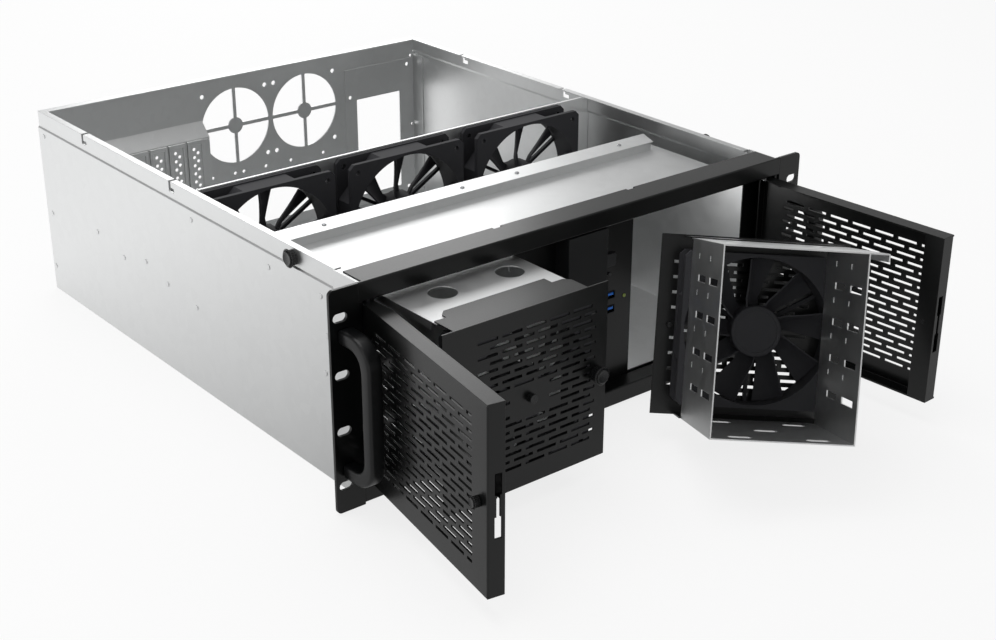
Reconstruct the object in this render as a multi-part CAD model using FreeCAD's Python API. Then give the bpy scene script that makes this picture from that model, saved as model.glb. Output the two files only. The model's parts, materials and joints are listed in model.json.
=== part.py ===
import FreeCAD, Part
import math
import os

V = FreeCAD.Vector

# Rackmount server case, four rack units tall, lid taken off.
# X runs to the right seen from the front, Y into the case, Z up.
# The shapes are drawn with Y = 0 on the front plane of the rack ears and Z = 0 under the floor,
# and saved with the origin in the middle of the chassis' base.
# All sizes are in millimetres.

# Rack panel standard
rack_unit = 44.45
rack_units = 4
panel_clearance = 0.8
panel_width = 482.6
ear_slot_inset = 17.5
panel_height = rack_units * rack_unit - panel_clearance
ear_slot_length = 12.0
ear_slot_height = 7.0
ear_slot_rows = (-66.675, -22.225, 22.225, 66.675)

# Chassis shell
ear_reach = 26.3
body_width = panel_width - 2 * ear_reach
body_depth = 520.6
wall_height = 176.0
sheet = 1.2
tray_front = 2.5
lid_step_height = 160.5
lid_step = 1.3
lid_step_front = 34.0
wall_lip = 6.0
lid_hook_places = (275.0, 432.0)
lid_hook_width = 3.6
lid_hook_drop = 9.0
lid_hook_run = 9.0
lid_screw_y = 88.0
lid_screw_z = 168.0
lid_screw_length = 5.5

# Rear panel
rear_flange = 17.0
rear_top_lip = 9.0
rear_fan_offsets = (53.8, 135.8)
rear_fan_z = 121.6
rear_fan_bore = 38.5
rear_fan_hub = 8.25
rear_fan_spoke = 3.6
rear_fan_screw_spacing = 71.5
rear_fan_screw_bore = 2.2
io_offset = 25.8
io_width = 158.75
io_bottom = 12.0
io_height = 44.45
psu_margin = 91.3
psu_bottom = 4.7
psu_width = 86.0
psu_height = 150.0
psu_recess = 1.2
psu_window_inset = 14.3
psu_window_width = 55.5
psu_window_bottom = 14.0
psu_window_top = 120.8

# Expansion slots
slot_count = 7
slot_pitch = 20.32
slot_first_margin = 152.7
slot_cover_width = 18.4
slot_window_width = 12.2
slot_recess_depth = 13.0
slot_recess_top = 134.0
slot_recess_margin = 14.8
slot_bottom = 12.0
slot_ledge_z = 118.5
slot_tab_length = 11.0
slot_screw_y = 7.0
slot_vent_size = 4.4
slot_vent_pitch = 13.0
slot_vent_rows = 7
slot_vent_offset = 4.0

# Middle fan wall
fan_size = 120.0
fan_depth = 25.0
fan_bore = 57.5
fan_corner = 4.0
fan_rim = 4.0
fan_hub_radius = 20.0
fan_tip_clearance = 1.0
fan_blades = 9
fan_blade_thickness = 1.4
fan_strut_width = 3.0
fan_strut_depth = 3.0
fan_run_gap = 0.3
fan_waist = 1.0
fan_blade_pitch = 36.0
fan_blade_root = 15.0
fan_blade_tip = 23.0
fan_blade_sweep = 3.5
wall_fan_spare = 23.5
wall_fan_margin = 3.0
wall_fan_z = 114.7
wall_fan_front = 214.0
fan_wall_bore = 58.0
fan_wall_lip = 10.0
fan_wall_top_lip = 2.5

# Front bezel
bezel_sheet = 1.5
bezel_bar = 15.0
bezel_recess = 16.0
bezel_top_lip = 25.0
bezel_overlap = 1.2
ear_sheet = 2.5
ear_flange = 24.0
ear_flange_sheet = 0.9
ear_corner = 4.0
left_bay_margin = 22.5
right_bay_margin = 24.5
bay_width = 128.5
bay_sheet = 1.0
bay_floor_z = 18.2
bay_depth = 140.0
bay_top_z = 159.4
bay_flange = 11.0

# Handles
handle_inset = 12.8
handle_width = 9.0
handle_bar = 11.0
handle_reach = 37.5
handle_low = 29.0
handle_high = 147.0
handle_bend = 22.0

# Front top plate
plate_z = 160.4
plate_margin = 37.0
plate_lip_margin = 25.0
plate_step_y = 117.0
plate_rear_y = 139.0
plate_step = 7.0

# Centre column
blank_width = 41.0
blank_low = 17.5
blank_high = 160.5
button_margin = 25.0
power_z = 125.0
reset_z = 112.0
power_size = 11.0
reset_radius = 1.8
button_clearance = 0.3
button_proud = 2.2
usb_rows = (93.0, 80.5)
usb_width = 14.5
usb_height = 7.0
led_margin = 7.5
led_z = 89.0
led_radius = 1.5

# Doors
door_low = 18.0
door_high = 160.0
door_depth = 13.0
door_sheet = 1.4
hinge_inset = 10.0
hinge_y = 6.0
door_heel = 4.0
door_gap = 1.0
door_channel = 17.0
door_rim_low = 8.5
door_slope_end = 24.0
left_door_angle = 99.5
right_door_angle = 93.0
hinge_pin_radius = 1.8
hinge_clearance = 0.05
vent_pitch = 22.3
vent_length = 18.0
vent_height = 2.4
vent_row_pitch = 6.0
door_vent_rows = 19
door_vent_start = 18.5
door_vent_margin = 20.5
door_vent_low = 35.5
door_screw_margin = 11.5
door_screw_z = 86.4
latch_low = 62.0
latch_wide = 5.4
latch_narrow = 2.8
latch_step = 16.0

# Drive cages
cage_width = 107.0
cage_height = 140.6
cage_length = 126.0
cage_sheet = 1.0
cage_panel_left = 25.0
cage_panel_right = 19.5
cage_panel_sheet = 1.2
cage_hood_sheet = 0.8
cage_rail = 14.5
cage_fan_x = 52.0
cage_vent_left = 5.5
cage_vent_low = 18.0
cage_vent_rows = 19
cage_vent_columns = 5
cage_vent_pitch = 22.0
cage_bare_half_width = 13.0
cage_bare_half_height = 12.0
cage_knob_radius = 3.6
cage_knob_length = 4.5
cage_rows = (28.5, 56.0, 83.5, 111.0)
cage_slot_places = (62.0, 102.0)
cage_slot_length = 13.0
cage_slot_height = 5.0
cage_floor_vents = ((22.0, 42.0), (80.0, 42.0), (53.5, 78.0), (24.0, 114.0), (82.0, 114.0))
cage_top_holes = ((22.0, 61.0), (84.0, 61.0))
cage_top_hole_radius = 11.0
cage_runner_gap = 0.3
left_cage_margin = 16.0
left_cage_front = -76.0
loose_cage_place = (119.1, -130.2, 12.6)
loose_cage_turn = (144.9, -5.1, 19.0)

# Screws
thumb_radius = 6.0
thumb_length = 8.0
thumb_neck = 2.0
turn_gap = 0.3
small_head = 3.2
small_head_height = 1.6
standoff_radius = 3.2
standoff_height = 6.5
standoff_columns = (-170.0, -46.0, 45.0)
standoff_from_rear = (210.6, 90.6, 25.6)

# Places that follow the body's width and depth
half_body = body_width / 2
ear_slot_spacing = panel_width - ear_slot_inset
bezel_half_width = half_body + bezel_overlap
handle_x = panel_width / 2 - handle_inset
hinge_x = half_body - hinge_inset
door_length = hinge_x - blank_width / 2 - door_gap
door_vent_end = door_length - door_vent_margin
door_screw_u = door_length - door_screw_margin
left_bay_x = left_bay_margin - half_body
right_bay_x = half_body - right_bay_margin - bay_width
button_x = right_bay_x - button_margin
usb_x = button_x
led_x = right_bay_x - led_margin
left_cage_x = left_bay_x + left_cage_margin
plate_right = half_body - plate_margin
plate_lip_right = half_body - plate_lip_margin
psu_left = half_body - psu_margin
psu_window_left = psu_left + psu_window_inset
slot_first_x = slot_first_margin - half_body
io_left = slot_first_x + io_offset
rear_fan_centres = [slot_first_x + offset for offset in rear_fan_offsets]
wall_fan_pitch = (body_width - wall_fan_spare) / 3
wall_fan_first_x = wall_fan_margin + fan_size / 2 - half_body
standoff_rows = [body_depth - distance for distance in standoff_from_rear]
cage_z = bay_floor_z + cage_runner_gap
cage_body_y = cage_panel_sheet + fan_depth
cage_screw_x = cage_width + cage_panel_right / 2 - 0.5
inner_half = half_body - sheet
step_half = half_body - lid_step
rear_inner = body_depth - sheet
panel_mid = panel_height / 2
os.makedirs("parts", exist_ok=True)


# Helpers

def box(x0, x1, y0, y1, z0, z1):
    return Part.makeBox(x1 - x0, y1 - y0, z1 - z0, V(x0, y0, z0))


def rod(start, axis, radius, length):
    return Part.makeCylinder(radius, length, V(*start), V(*axis))


def prism(points, direction):
    """Closed outline of corner points pushed along a direction."""
    corners = [V(*p) for p in points]
    return Part.Face(Part.makePolygon(corners + corners[:1])).extrude(V(*direction))


def across(outline, x0, x1):
    """Outline of (y, z) corners, folded-sheet fashion, running from x0 to x1."""
    return prism([(x0, y, z) for y, z in outline], (x1 - x0, 0, 0))


def along(outline, y0, y1):
    """Outline of (x, z) corners running from y0 to y1."""
    return prism([(x, y0, z) for x, z in outline], (0, y1 - y0, 0))


def upright(outline, z0, z1):
    """Outline of (x, y) corners standing from z0 to z1."""
    return prism([(x, y, z0) for x, y in outline], (0, 0, z1 - z0))


def obround_y(x, z, length, height, y0, y1):
    """Slot with round ends, long along X, pushed along Y."""
    r = height / 2
    half = length / 2 - r
    body = box(x - half, x + half, y0, y1, z - r, z + r)
    ends = [rod((x + side * half, y0, z), (0, 1, 0), r, y1 - y0) for side in (-1, 1)]
    return body.multiFuse(ends).removeSplitter()


def cut_all(shape, tools):
    return shape.cut(Part.makeCompound(tools)) if tools else shape


def fuse_all(shapes):
    return shapes[0].multiFuse(shapes[1:]).removeSplitter()


def mirrored(shape):
    return shape.mirror(V(0, 0, 0), V(1, 0, 0))


def round_edges(shape, radius, wanted):
    """Fillet the straight edges that the test picks."""
    picked = [e for e in shape.Edges if wanted(e)]
    return shape.makeFillet(radius, picked) if picked else shape


def is_vertical(edge):
    a, b = edge.Vertexes[0].Point, edge.Vertexes[-1].Point
    return abs(a.x - b.x) < 1e-6 and abs(a.y - b.y) < 1e-6 and abs(a.z - b.z) > 1e-6


def is_along_y(edge):
    a, b = edge.Vertexes[0].Point, edge.Vertexes[-1].Point
    return abs(a.x - b.x) < 1e-6 and abs(a.z - b.z) < 1e-6 and abs(a.y - b.y) > 1e-6


def is_along_x(edge):
    a, b = edge.Vertexes[0].Point, edge.Vertexes[-1].Point
    return abs(a.y - b.y) < 1e-6 and abs(a.z - b.z) < 1e-6 and abs(a.x - b.x) > 1e-6


def placed(shape, place, turn):
    """Shape turned by (yaw about Z, pitch about Y, roll about X) and moved to its place."""
    moved = shape.copy()
    moved.Placement = FreeCAD.Placement(V(*place), FreeCAD.Rotation(*turn)).multiply(shape.Placement)
    return moved


def turned(shape, centre, degrees):
    moved = shape.copy()
    moved.rotate(V(*centre), V(0, 0, 1), degrees)
    return moved


def save(name, shape):
    """Write the piece with the origin moved to the middle of the base."""
    shape.translate(V(0, -(tray_front + body_depth) / 2, 0))
    shape.exportStep("parts/" + name + ".step")
    print(name, len(shape.Solids), "solids", round(shape.Volume / 1000, 2), "cm3")


# Chassis tray: floor and both side walls folded from one sheet

def wall_outline():
    """Half of the folded section, from the middle of the floor out and up the right wall."""
    return [
        (0, 0), (half_body, 0), (half_body, lid_step_height),
        (step_half, lid_step_height + lid_step), (step_half, wall_height),
        (step_half - wall_lip, wall_height), (step_half - wall_lip, wall_height - sheet),
        (step_half - sheet, wall_height - sheet), (step_half - sheet, lid_step_height + lid_step + sheet / 2),
        (inner_half, lid_step_height - sheet / 2), (inner_half, sheet), (0, sheet),
    ]


def front_wall_outline():
    """Same half section ahead of the lid, where the wall stands straight."""
    return [
        (0, 0), (half_body, 0), (half_body, wall_height),
        (inner_half, wall_height), (inner_half, sheet), (0, sheet),
    ]


def lid_hook(y):
    """Keyhole for a lid hook: a drop from the wall's top, then a run towards the front."""
    drop = box(step_half - wall_lip - 1, half_body + 1, y - lid_hook_width, y,
               wall_height - lid_hook_drop, wall_height + 1)
    run = box(step_half - wall_lip - 1, half_body + 1, y - lid_hook_run, y,
              wall_height - lid_hook_drop, wall_height - lid_hook_drop + lid_hook_width)
    return drop.fuse(run)


def chassis_tray():
    half = along(wall_outline(), lid_step_front, body_depth)
    half = half.fuse(along(front_wall_outline(), tray_front, lid_step_front))
    half = cut_all(half, [lid_hook(y) for y in lid_hook_places])
    return half.fuse(mirrored(half)).removeSplitter()


# Rear panel with its punched fan guards, supply seat and recessed expansion slots

def slot_x(index):
    return slot_first_x - index * slot_pitch


slot_right = slot_first_x + slot_recess_margin
slot_left = slot_x(slot_count - 1) - slot_recess_margin
slot_face = rear_inner - slot_recess_depth


def fan_guard_cut(x):
    """The four open quarters of a punched guard: a disc less its hub and its cross."""
    disc = rod((x, rear_inner - 1, rear_fan_z), (0, 1, 0), rear_fan_bore, sheet + 2)
    hub = rod((x, rear_inner - 1, rear_fan_z), (0, 1, 0), rear_fan_hub, sheet + 2)
    half = rear_fan_spoke / 2
    tall = box(x - half, x + half, rear_inner - 1, body_depth + 1, rear_fan_z - 50, rear_fan_z + 50)
    wide = box(x - 50, x + 50, rear_inner - 1, body_depth + 1, rear_fan_z - half, rear_fan_z + half)
    return disc.cut(Part.makeCompound([hub, tall, wide]))


def square_holes(x, z, spacing, radius, y0, y1):
    half = spacing / 2
    return [
        rod((x + i * half, y0, z + k * half), (0, 1, 0), radius, y1 - y0) for i in (-1, 1) for k in (-1, 1)
    ]


def slot_recess():
    """Drawn-in box for the slots: sloping roof, face wall, ledge for the cover tabs, two ends."""
    roof = across([
        (rear_inner, slot_recess_top), (slot_face, slot_recess_top - slot_recess_depth),
        (slot_face, slot_recess_top - slot_recess_depth - sheet), (rear_inner, slot_recess_top - sheet),
    ], slot_left, slot_right)
    tab_end = slot_face + slot_tab_length
    face = box(slot_left, slot_right, slot_face, slot_face + sheet, slot_bottom, slot_ledge_z)
    ledge = box(slot_left, slot_right, slot_face, tab_end, slot_ledge_z - sheet, slot_ledge_z)
    floor = box(slot_left, slot_right, slot_face, rear_inner, slot_bottom - sheet, slot_bottom)
    end_outline = [
        (slot_face, slot_bottom - sheet), (rear_inner, slot_bottom - sheet),
        (rear_inner, slot_recess_top), (slot_face, slot_recess_top - slot_recess_depth),
    ]
    ends = [
        across(end_outline, slot_left - sheet, slot_left),
        across(end_outline, slot_right, slot_right + sheet),
    ]
    windows = [
        box(slot_x(i) - slot_window_width / 2, slot_x(i) + slot_window_width / 2,
            slot_face - 1, slot_face + sheet + 0.01, slot_bottom + 6, slot_ledge_z - sheet)
        for i in range(slot_count)
    ]
    return cut_all(fuse_all([roof, face, ledge, floor] + ends), windows)


def joggled(low_half, high_half, z0, z1):
    """Plate outline that follows the step near the top of the side walls."""
    step = lid_step_height - 1.0
    return [
        (-low_half, z0), (low_half, z0), (low_half, step), (high_half, step + lid_step + 0.2),
        (high_half, z1), (-high_half, z1), (-high_half, step + lid_step + 0.2), (-low_half, step),
    ]


def rear_panel():
    low, high = inner_half, step_half - sheet
    top = wall_height - sheet
    plate = along(joggled(low, high, sheet, top), rear_inner, body_depth)
    reach = step_half - wall_lip
    lip = box(-reach, reach, body_depth - rear_top_lip, body_depth, top, wall_height)
    parts = [plate, lip]
    for side in (-1, 1):
        x0, x1 = sorted((side * low, side * (low - sheet)))
        flange_front = rear_inner - rear_flange
        parts.append(box(x0, x1, flange_front, rear_inner + sheet / 2, sheet, lid_step_height - 2.0))
    psu_right, psu_top = psu_left + psu_width, psu_bottom + psu_height
    seat = box(psu_left, psu_right, rear_inner - psu_recess, rear_inner, psu_bottom, psu_top)
    hollow = box(psu_left + sheet, psu_right - sheet, body_depth - psu_recess, body_depth + 1,
                 psu_bottom + sheet, psu_top - sheet)
    panel = fuse_all(parts + [seat]).cut(hollow)
    near, far = rear_inner - 3, body_depth + 1
    tools = []
    for x in rear_fan_centres:
        tools.append(fan_guard_cut(x))
        tools += square_holes(x, rear_fan_z, rear_fan_screw_spacing, rear_fan_screw_bore, near, far)
    tools.append(box(io_left, io_left + io_width, near, far, io_bottom, io_bottom + io_height))
    window_right = psu_window_left + psu_window_width
    tools.append(box(psu_window_left, window_right, near, far, psu_window_bottom, psu_window_top))
    tools.append(box(slot_left, slot_right, near, far, slot_bottom, slot_recess_top - sheet))
    return cut_all(panel, tools).fuse(slot_recess()).removeSplitter()


def slot_cover(index):
    """Slot blank: flat strip with two staggered rows of vents and a tab folded over the ledge."""
    x = slot_x(index)
    half = slot_cover_width / 2
    front = slot_face - sheet
    strip = box(x - half, x + half, front, slot_face, slot_bottom + 2, slot_ledge_z + sheet)
    tab = box(x - half, x + half, front, slot_face + slot_tab_length, slot_ledge_z, slot_ledge_z + sheet)
    tools = []
    r = slot_vent_size / 2
    for row in range(slot_vent_rows):
        for side in (-1, 1):
            z = slot_ledge_z - 9.0 - slot_vent_pitch * (row + (0.5 if side > 0 else 0))
            middle = x + side * slot_vent_offset
            tools.append(box(middle - r, middle + r, slot_face - sheet - 1, slot_face + 0.1, z - r, z + r))
    return cut_all(strip.fuse(tab), tools)


def hexagon(x, y, radius):
    angles = [math.radians(60 * k) for k in range(6)]
    return [(x + radius * math.cos(a), y + radius * math.sin(a)) for a in angles]


def hex_prism(x, y, z, radius, height):
    """Upright six-sided head or post, its base at z."""
    return upright(hexagon(x, y, radius), z, z + height)


def slot_cover_screws():
    """Hexagon heads that clamp the cover tabs to the ledge."""
    top = slot_ledge_z + sheet
    y = slot_face + slot_screw_y
    return Part.makeCompound([
        hex_prism(slot_x(i), y, top, small_head, small_head_height) for i in range(slot_count)
    ])


# Fans

def cut_square(half, corner):
    """Square outline with cut corners."""
    k = half - corner
    return [(half, -k), (half, k), (k, half), (-k, half), (-half, k), (-half, -k), (-k, -half), (k, -half)]


def fan_frame(x, y, z):
    """Square fan housing: two flanges joined by a duct, and three struts to the motor seat."""
    half = fan_size / 2
    front = along(cut_square(half, fan_corner), 0, fan_rim)
    rear = along(cut_square(half, fan_corner), fan_depth - fan_rim, fan_depth)
    waist = half - fan_waist
    duct = along(cut_square(waist, waist * (2 - math.sqrt(2))), fan_rim, fan_depth - fan_rim)
    bore = rod((0, -1, 0), (0, 1, 0), fan_bore, fan_depth + 2)
    body = front.multiFuse([rear, duct]).cut(bore)
    y0 = fan_depth - fan_strut_depth
    struts = [along(hexagon(0, 0, fan_hub_radius), y0, fan_depth)]
    for k in range(3):
        strut = box(0, fan_bore + 1, y0, fan_depth, -fan_strut_width / 2, fan_strut_width / 2)
        strut.rotate(V(0, 0, 0), V(0, 1, 0), 90 + 120 * k)
        struts.append(strut)
    body = body.multiFuse(struts).removeSplitter()
    body.translate(V(x, y, z))
    return body


def fan_blade():
    """One flat swept blade, set at its pitch across the fan; it leads towards the intake."""
    root, tip = fan_hub_radius - 1.5, fan_bore - fan_tip_clearance
    narrow, wide, lead = fan_blade_root / 2, fan_blade_tip / 2, fan_blade_sweep
    outline = [
        (root, -narrow), (root, narrow), (0.7 * tip, wide * 0.85 + lead / 2), (tip - 3.0, wide + lead),
        (tip - 0.6, lead - wide * 0.2), (tip - 1.5, lead - wide), (0.6 * tip, -narrow),
    ]
    t = fan_blade_thickness
    blade = prism([(u, -t / 2, v) for u, v in outline], (0, t, 0))
    blade.rotate(V(0, 0, 0), V(1, 0, 0), fan_blade_pitch)
    blade.translate(V(0, fan_depth / 2, 0))
    return blade


def fan_rotor(x, y, z):
    """Hub cup with swept blades, turning just in front of the motor seat."""
    cup = rod((0, 2.0, 0), (0, 1, 0), fan_hub_radius, fan_depth - fan_strut_depth - 2.0 - fan_run_gap)
    blades = []
    for k in range(fan_blades):
        blade = fan_blade()
        blade.rotate(V(0, 0, 0), V(0, 1, 0), 360.0 * k / fan_blades)
        blades.append(blade)
    rotor = cup.multiFuse(blades).removeSplitter()
    rotor.translate(V(x, y, z))
    return rotor


def wall_fan_x(index):
    return wall_fan_first_x + index * wall_fan_pitch


fan_wall_y = wall_fan_front + fan_depth


def fan_wall():
    """Steel cross wall behind the fans, with a round opening for each and all edges folded to the rear."""
    low, high = inner_half - 0.2, step_half - sheet - 0.2
    top = wall_height - sheet
    y0, y1, y2 = fan_wall_y, fan_wall_y + sheet, fan_wall_y + fan_wall_lip
    top_lip = fan_wall_y + fan_wall_top_lip
    parts = [along(joggled(low, high, sheet, top), y0, y1)]
    reach = step_half - wall_lip - 2.0
    parts.append(box(-reach, reach, y0, top_lip, top, wall_height))
    parts.append(box(-reach, reach, y1 - 0.1, y2, sheet, 2 * sheet))
    for side in (-1, 1):
        x0, x1 = sorted((side * low, side * (low - sheet)))
        parts.append(box(x0, x1, y1 - 0.1, y2, 2 * sheet + 1.0, lid_step_height - 2.0))
    bores = [rod((wall_fan_x(i), y0 - 1, wall_fan_z), (0, 1, 0), fan_wall_bore, sheet + 2) for i in range(3)]
    return cut_all(fuse_all(parts), bores)


# Front bezel, ears and handles

bar_top = panel_height - bezel_bar
bar_low = bezel_bar + 1.0


def front_bezel():
    """Frame round the doors: a hollow bar above and below, each folded from one sheet."""
    t = bezel_sheet
    upper = across([
        (0, bar_top), (bezel_recess, bar_top), (bezel_recess, bar_top + t), (t, bar_top + t),
        (t, panel_height - t), (bezel_top_lip, panel_height - t),
        (bezel_top_lip, panel_height), (0, panel_height),
    ], -bezel_half_width, bezel_half_width)
    lower = across([
        (0, 1.5), (bezel_recess + 8, 1.5), (bezel_recess + 8, 1.5 + t), (t, 1.5 + t),
        (t, bar_low - t), (bezel_recess, bar_low - t), (bezel_recess, bar_low), (0, bar_low),
    ], -bezel_half_width, bezel_half_width)
    upper = round_edges(upper, 1.0, lambda e: is_along_x(e) and abs(e.BoundBox.YMin) < 1e-6)
    lower = round_edges(lower, 1.0, lambda e: is_along_x(e) and abs(e.BoundBox.YMin) < 1e-6)
    tools = []
    for side in (-1, 1):
        wall = side * (half_body - sheet / 2)
        tools.append(box(wall - 2.3, wall + 2.1, tray_front - 0.2, 60, -1, panel_height + 5))
    for x in (-73.0, 65.0):
        tools.append(box(x - 4, x + 4, bezel_top_lip - 2.5, bezel_top_lip + 1, panel_height - 3, panel_height + 1))
    back, front = bezel_recess + sheet, bezel_recess
    jambs = [
        box(left_bay_x - 17.0, left_bay_x, front, back, bar_low - t, bar_top + t),
        box(right_bay_x + bay_width, right_bay_x + bay_width + 21.0, front, back, bar_low - t, bar_top + t),
    ]
    bars = cut_all(upper.fuse(lower), tools)
    return bars.multiFuse(jambs).removeSplitter()


def ear():
    """Right rack ear: slotted face plate with a flange folded back inside the wall."""
    outer = panel_width / 2
    inner = bezel_half_width + 0.2
    face = box(inner, outer, 0, ear_sheet, 0, panel_height)
    face = round_edges(face, ear_corner, lambda e: is_along_y(e) and e.BoundBox.XMin > outer - 1e-6)
    inside = inner_half - 0.1
    low, high = bar_low + 0.3, bar_top - 0.3
    arm = box(inside - ear_flange_sheet, inner + 1.0, bezel_sheet, tray_front - 0.2, low, high)
    flange = box(inside - ear_flange_sheet, inside, bezel_sheet, ear_flange, low, high)
    tools = [
        obround_y(ear_slot_spacing / 2, panel_mid + z, ear_slot_length, ear_slot_height, -1, ear_sheet + 1)
        for z in ear_slot_rows
    ]
    return cut_all(fuse_all([face, arm, flange]), tools)


def handle_screw_rows():
    leg = handle_bar / 2
    return (handle_low + leg, handle_high - leg)


def handle():
    """Right pull handle: flat bar bent to a square U, standing off the ear."""
    w = handle_width / 2
    x0, x1 = handle_x - w, handle_x + w
    outer = box(x0, x1, -handle_reach, 0, handle_low, handle_high)
    outer = round_edges(outer, handle_bend, lambda e: is_along_x(e) and e.BoundBox.YMax < -handle_reach + 1e-6)
    inner = box(x0 - 1, x1 + 1, -handle_reach + handle_bar, 1, handle_low + handle_bar, handle_high - handle_bar)
    inner = round_edges(inner, handle_bend - handle_bar + 2.0,
                        lambda e: is_along_x(e) and e.BoundBox.YMax < handle_bar - handle_reach + 1e-6)
    return outer.cut(inner)


def handle_screws():
    """Hexagon heads behind each ear that hold the handle's legs."""
    solids = []
    for z in handle_screw_rows():
        head = hex_prism(handle_x, -z, ear_sheet, small_head, small_head_height + 0.6)
        head.rotate(V(0, 0, 0), V(1, 0, 0), -90)
        solids += [head, mirrored(head)]
    return Part.makeCompound(solids)


# Front top plate and drive bays

def front_top_plate():
    """Cover over the drive bays with a raised step along its rear edge, longer at the right."""
    left = -(step_half - sheet - 0.2)
    z, t = plate_z, sheet
    front = bezel_recess + sheet
    raised = z + plate_step
    plate = across([
        (front, z), (plate_step_y + t, z), (plate_step_y + t, raised), (plate_rear_y, raised),
        (plate_rear_y, raised + t), (plate_step_y, raised + t), (plate_step_y, z + t), (front, z + t),
    ], left, plate_right)
    ear_outline = [
        (plate_right, plate_step_y), (plate_right + 3, plate_step_y), (plate_lip_right, plate_rear_y),
        (plate_right, plate_rear_y),
    ]
    plate = plate.fuse(upright(ear_outline, raised, raised + t))
    return plate.removeSplitter()


def drive_bay_frame():
    """One folded sheet: raised floor with two feet, two outer walls, and flanges under the top plate."""
    t = bay_sheet
    left, right = left_bay_x, right_bay_x + bay_width
    y0, y1 = bezel_recess + sheet, bezel_recess + bay_depth
    low, top = bay_floor_z, plate_z
    section = [
        (left - t, low - t), (right + t, low - t), (right + t, top), (right - bay_flange, top),
        (right - bay_flange, top - t), (right, top - t), (right, low), (left, low), (left, top - t),
        (left + bay_flange, top - t), (left + bay_flange, top), (left - t, top),
    ]
    body = along(section, y0, y1)
    front_foot = box(left, right, y0 + 12, y0 + 12 + t, sheet, low - t / 2)
    rear_foot = box(left, right, y1 - t, y1, sheet, low - t / 2)
    return fuse_all([body, front_foot, rear_foot])


def centre_bay_box():
    """Inverted channel between the cages: their inner walls, and the space behind the upright blank."""
    t = bay_sheet
    left, right = left_bay_x + bay_width, right_bay_x
    y0, y1 = bezel_recess + sheet, bezel_recess + bay_depth
    return along([
        (left, bay_floor_z), (left + t, bay_floor_z), (left + t, plate_z - t), (right - t, plate_z - t),
        (right - t, bay_floor_z), (right, bay_floor_z), (right, plate_z), (left, plate_z),
    ], y0, y1)


# Centre column between the two bays

column_y = bezel_recess


def centre_panel():
    """Recessed face between the bays, holed for the blank, the buttons, the ports and the light."""
    left, right = left_bay_x + bay_width, right_bay_x
    y0, y1 = column_y, column_y + sheet
    face = box(left, right, y0, y1, bar_low - bezel_sheet, bar_top + bezel_sheet)
    near, far = y0 - 1, y1 + 1
    half = power_size / 2 + button_clearance
    tools = [box(3 - blank_width / 2, blank_width / 2 - 3, near, far, blank_low + 3, blank_high - 3)]
    tools.append(box(button_x - half, button_x + half, near, far, power_z - half, power_z + half))
    tools.append(rod((button_x, near, reset_z), (0, 1, 0), reset_radius + button_clearance, far - near))
    for z in usb_rows:
        tools.append(box(usb_x - usb_width / 2, usb_x + usb_width / 2, near, far,
                         z - usb_height / 2, z + usb_height / 2))
    tools.append(rod((led_x, near, led_z), (0, 1, 0), led_radius, far - near))
    x = left_cage_x + cage_width + cage_panel_right / 2 - 0.5
    tools.append(rod((x, near, cage_z + cage_height / 2), (0, 1, 0), thumb_neck + 0.4, far - near))
    return cut_all(face, tools)


def drive_blank():
    """Blank for the upright 5.25 inch bay, a shallow box flush with the closed doors."""
    half = blank_width / 2
    t = 1.6
    shell = box(-half, half, 0, column_y, blank_low, blank_high)
    shell = round_edges(shell, 1.0, lambda e: is_vertical(e) and e.BoundBox.YMax < 1e-6)
    return shell.cut(box(t - half, half - t, t, column_y + 1, blank_low + t, blank_high - t))


def power_button():
    half = power_size / 2
    cap = box(button_x - half, button_x + half, column_y - button_proud, column_y + sheet + 3,
              power_z - half, power_z + half)
    cap = round_edges(cap, 2.5, is_along_y)
    rim = box(button_x - half - 1, button_x + half + 1, column_y + sheet + 0.3, column_y + sheet + 1.5,
              power_z - half - 1, power_z + half + 1)
    return cap.fuse(rim)


def reset_button():
    front = column_y - button_proud / 2
    cap = rod((button_x, front, reset_z), (0, 1, 0), reset_radius, button_proud / 2 + sheet + 3)
    half = reset_radius + 1.2
    rim = box(button_x - half, button_x + half, column_y + sheet + turn_gap, column_y + sheet + 1.5,
              reset_z - half, reset_z + half)
    return cap.fuse(rim)


def button_board():
    """Small circuit board behind the column that carries the switches, ports and lights."""
    y0 = column_y + sheet + 8.0
    board = box(usb_x - 10.5, led_x + 6.0, y0, y0 + 1.6, usb_rows[-1] - 12, power_z + 12)
    switches = [
        box(button_x - r, button_x + r, y0 - 1.4, y0, z - r, z + r) for r, z in ((2.5, power_z), (1.5, reset_z))
    ]
    stays = [
        box(usb_x - 10.5, usb_x - 8.5, column_y + sheet, y0, usb_rows[-1] - 12, usb_rows[-1] - 10),
        box(led_x + 4.0, led_x + 6.0, column_y + sheet, y0, power_z + 10, power_z + 12),
    ]
    return fuse_all([board] + switches + stays)


def usb_shells():
    """Metal shells of the two ports, open to the front."""
    solids = []
    for z in usb_rows:
        wide, high = usb_width / 2 - 0.3, usb_height / 2 - 0.3
        outer = box(usb_x - wide, usb_x + wide, column_y - 0.6, column_y + sheet + 8.0, z - high, z + high)
        wide, high = wide - 0.5, high - 0.5
        inner = box(usb_x - wide, usb_x + wide, column_y - 1.6, column_y + sheet + 7.0, z - high, z + high)
        solids.append(outer.cut(inner))
    return Part.makeCompound(solids)


def usb_tongues():
    solids = []
    for z in usb_rows:
        half = usb_width / 2 - 1.6
        solids.append(box(usb_x - half, usb_x + half, column_y, column_y + sheet + 7.0, z - 0.2, z + 1.8))
    return Part.makeCompound(solids)


def status_light():
    """Light pipe from the board to the column's face."""
    return rod((led_x, column_y - 0.6, led_z), (0, 1, 0), led_radius, sheet + 8.6)


# Doors, drawn closed and then swung open about their pins

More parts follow.
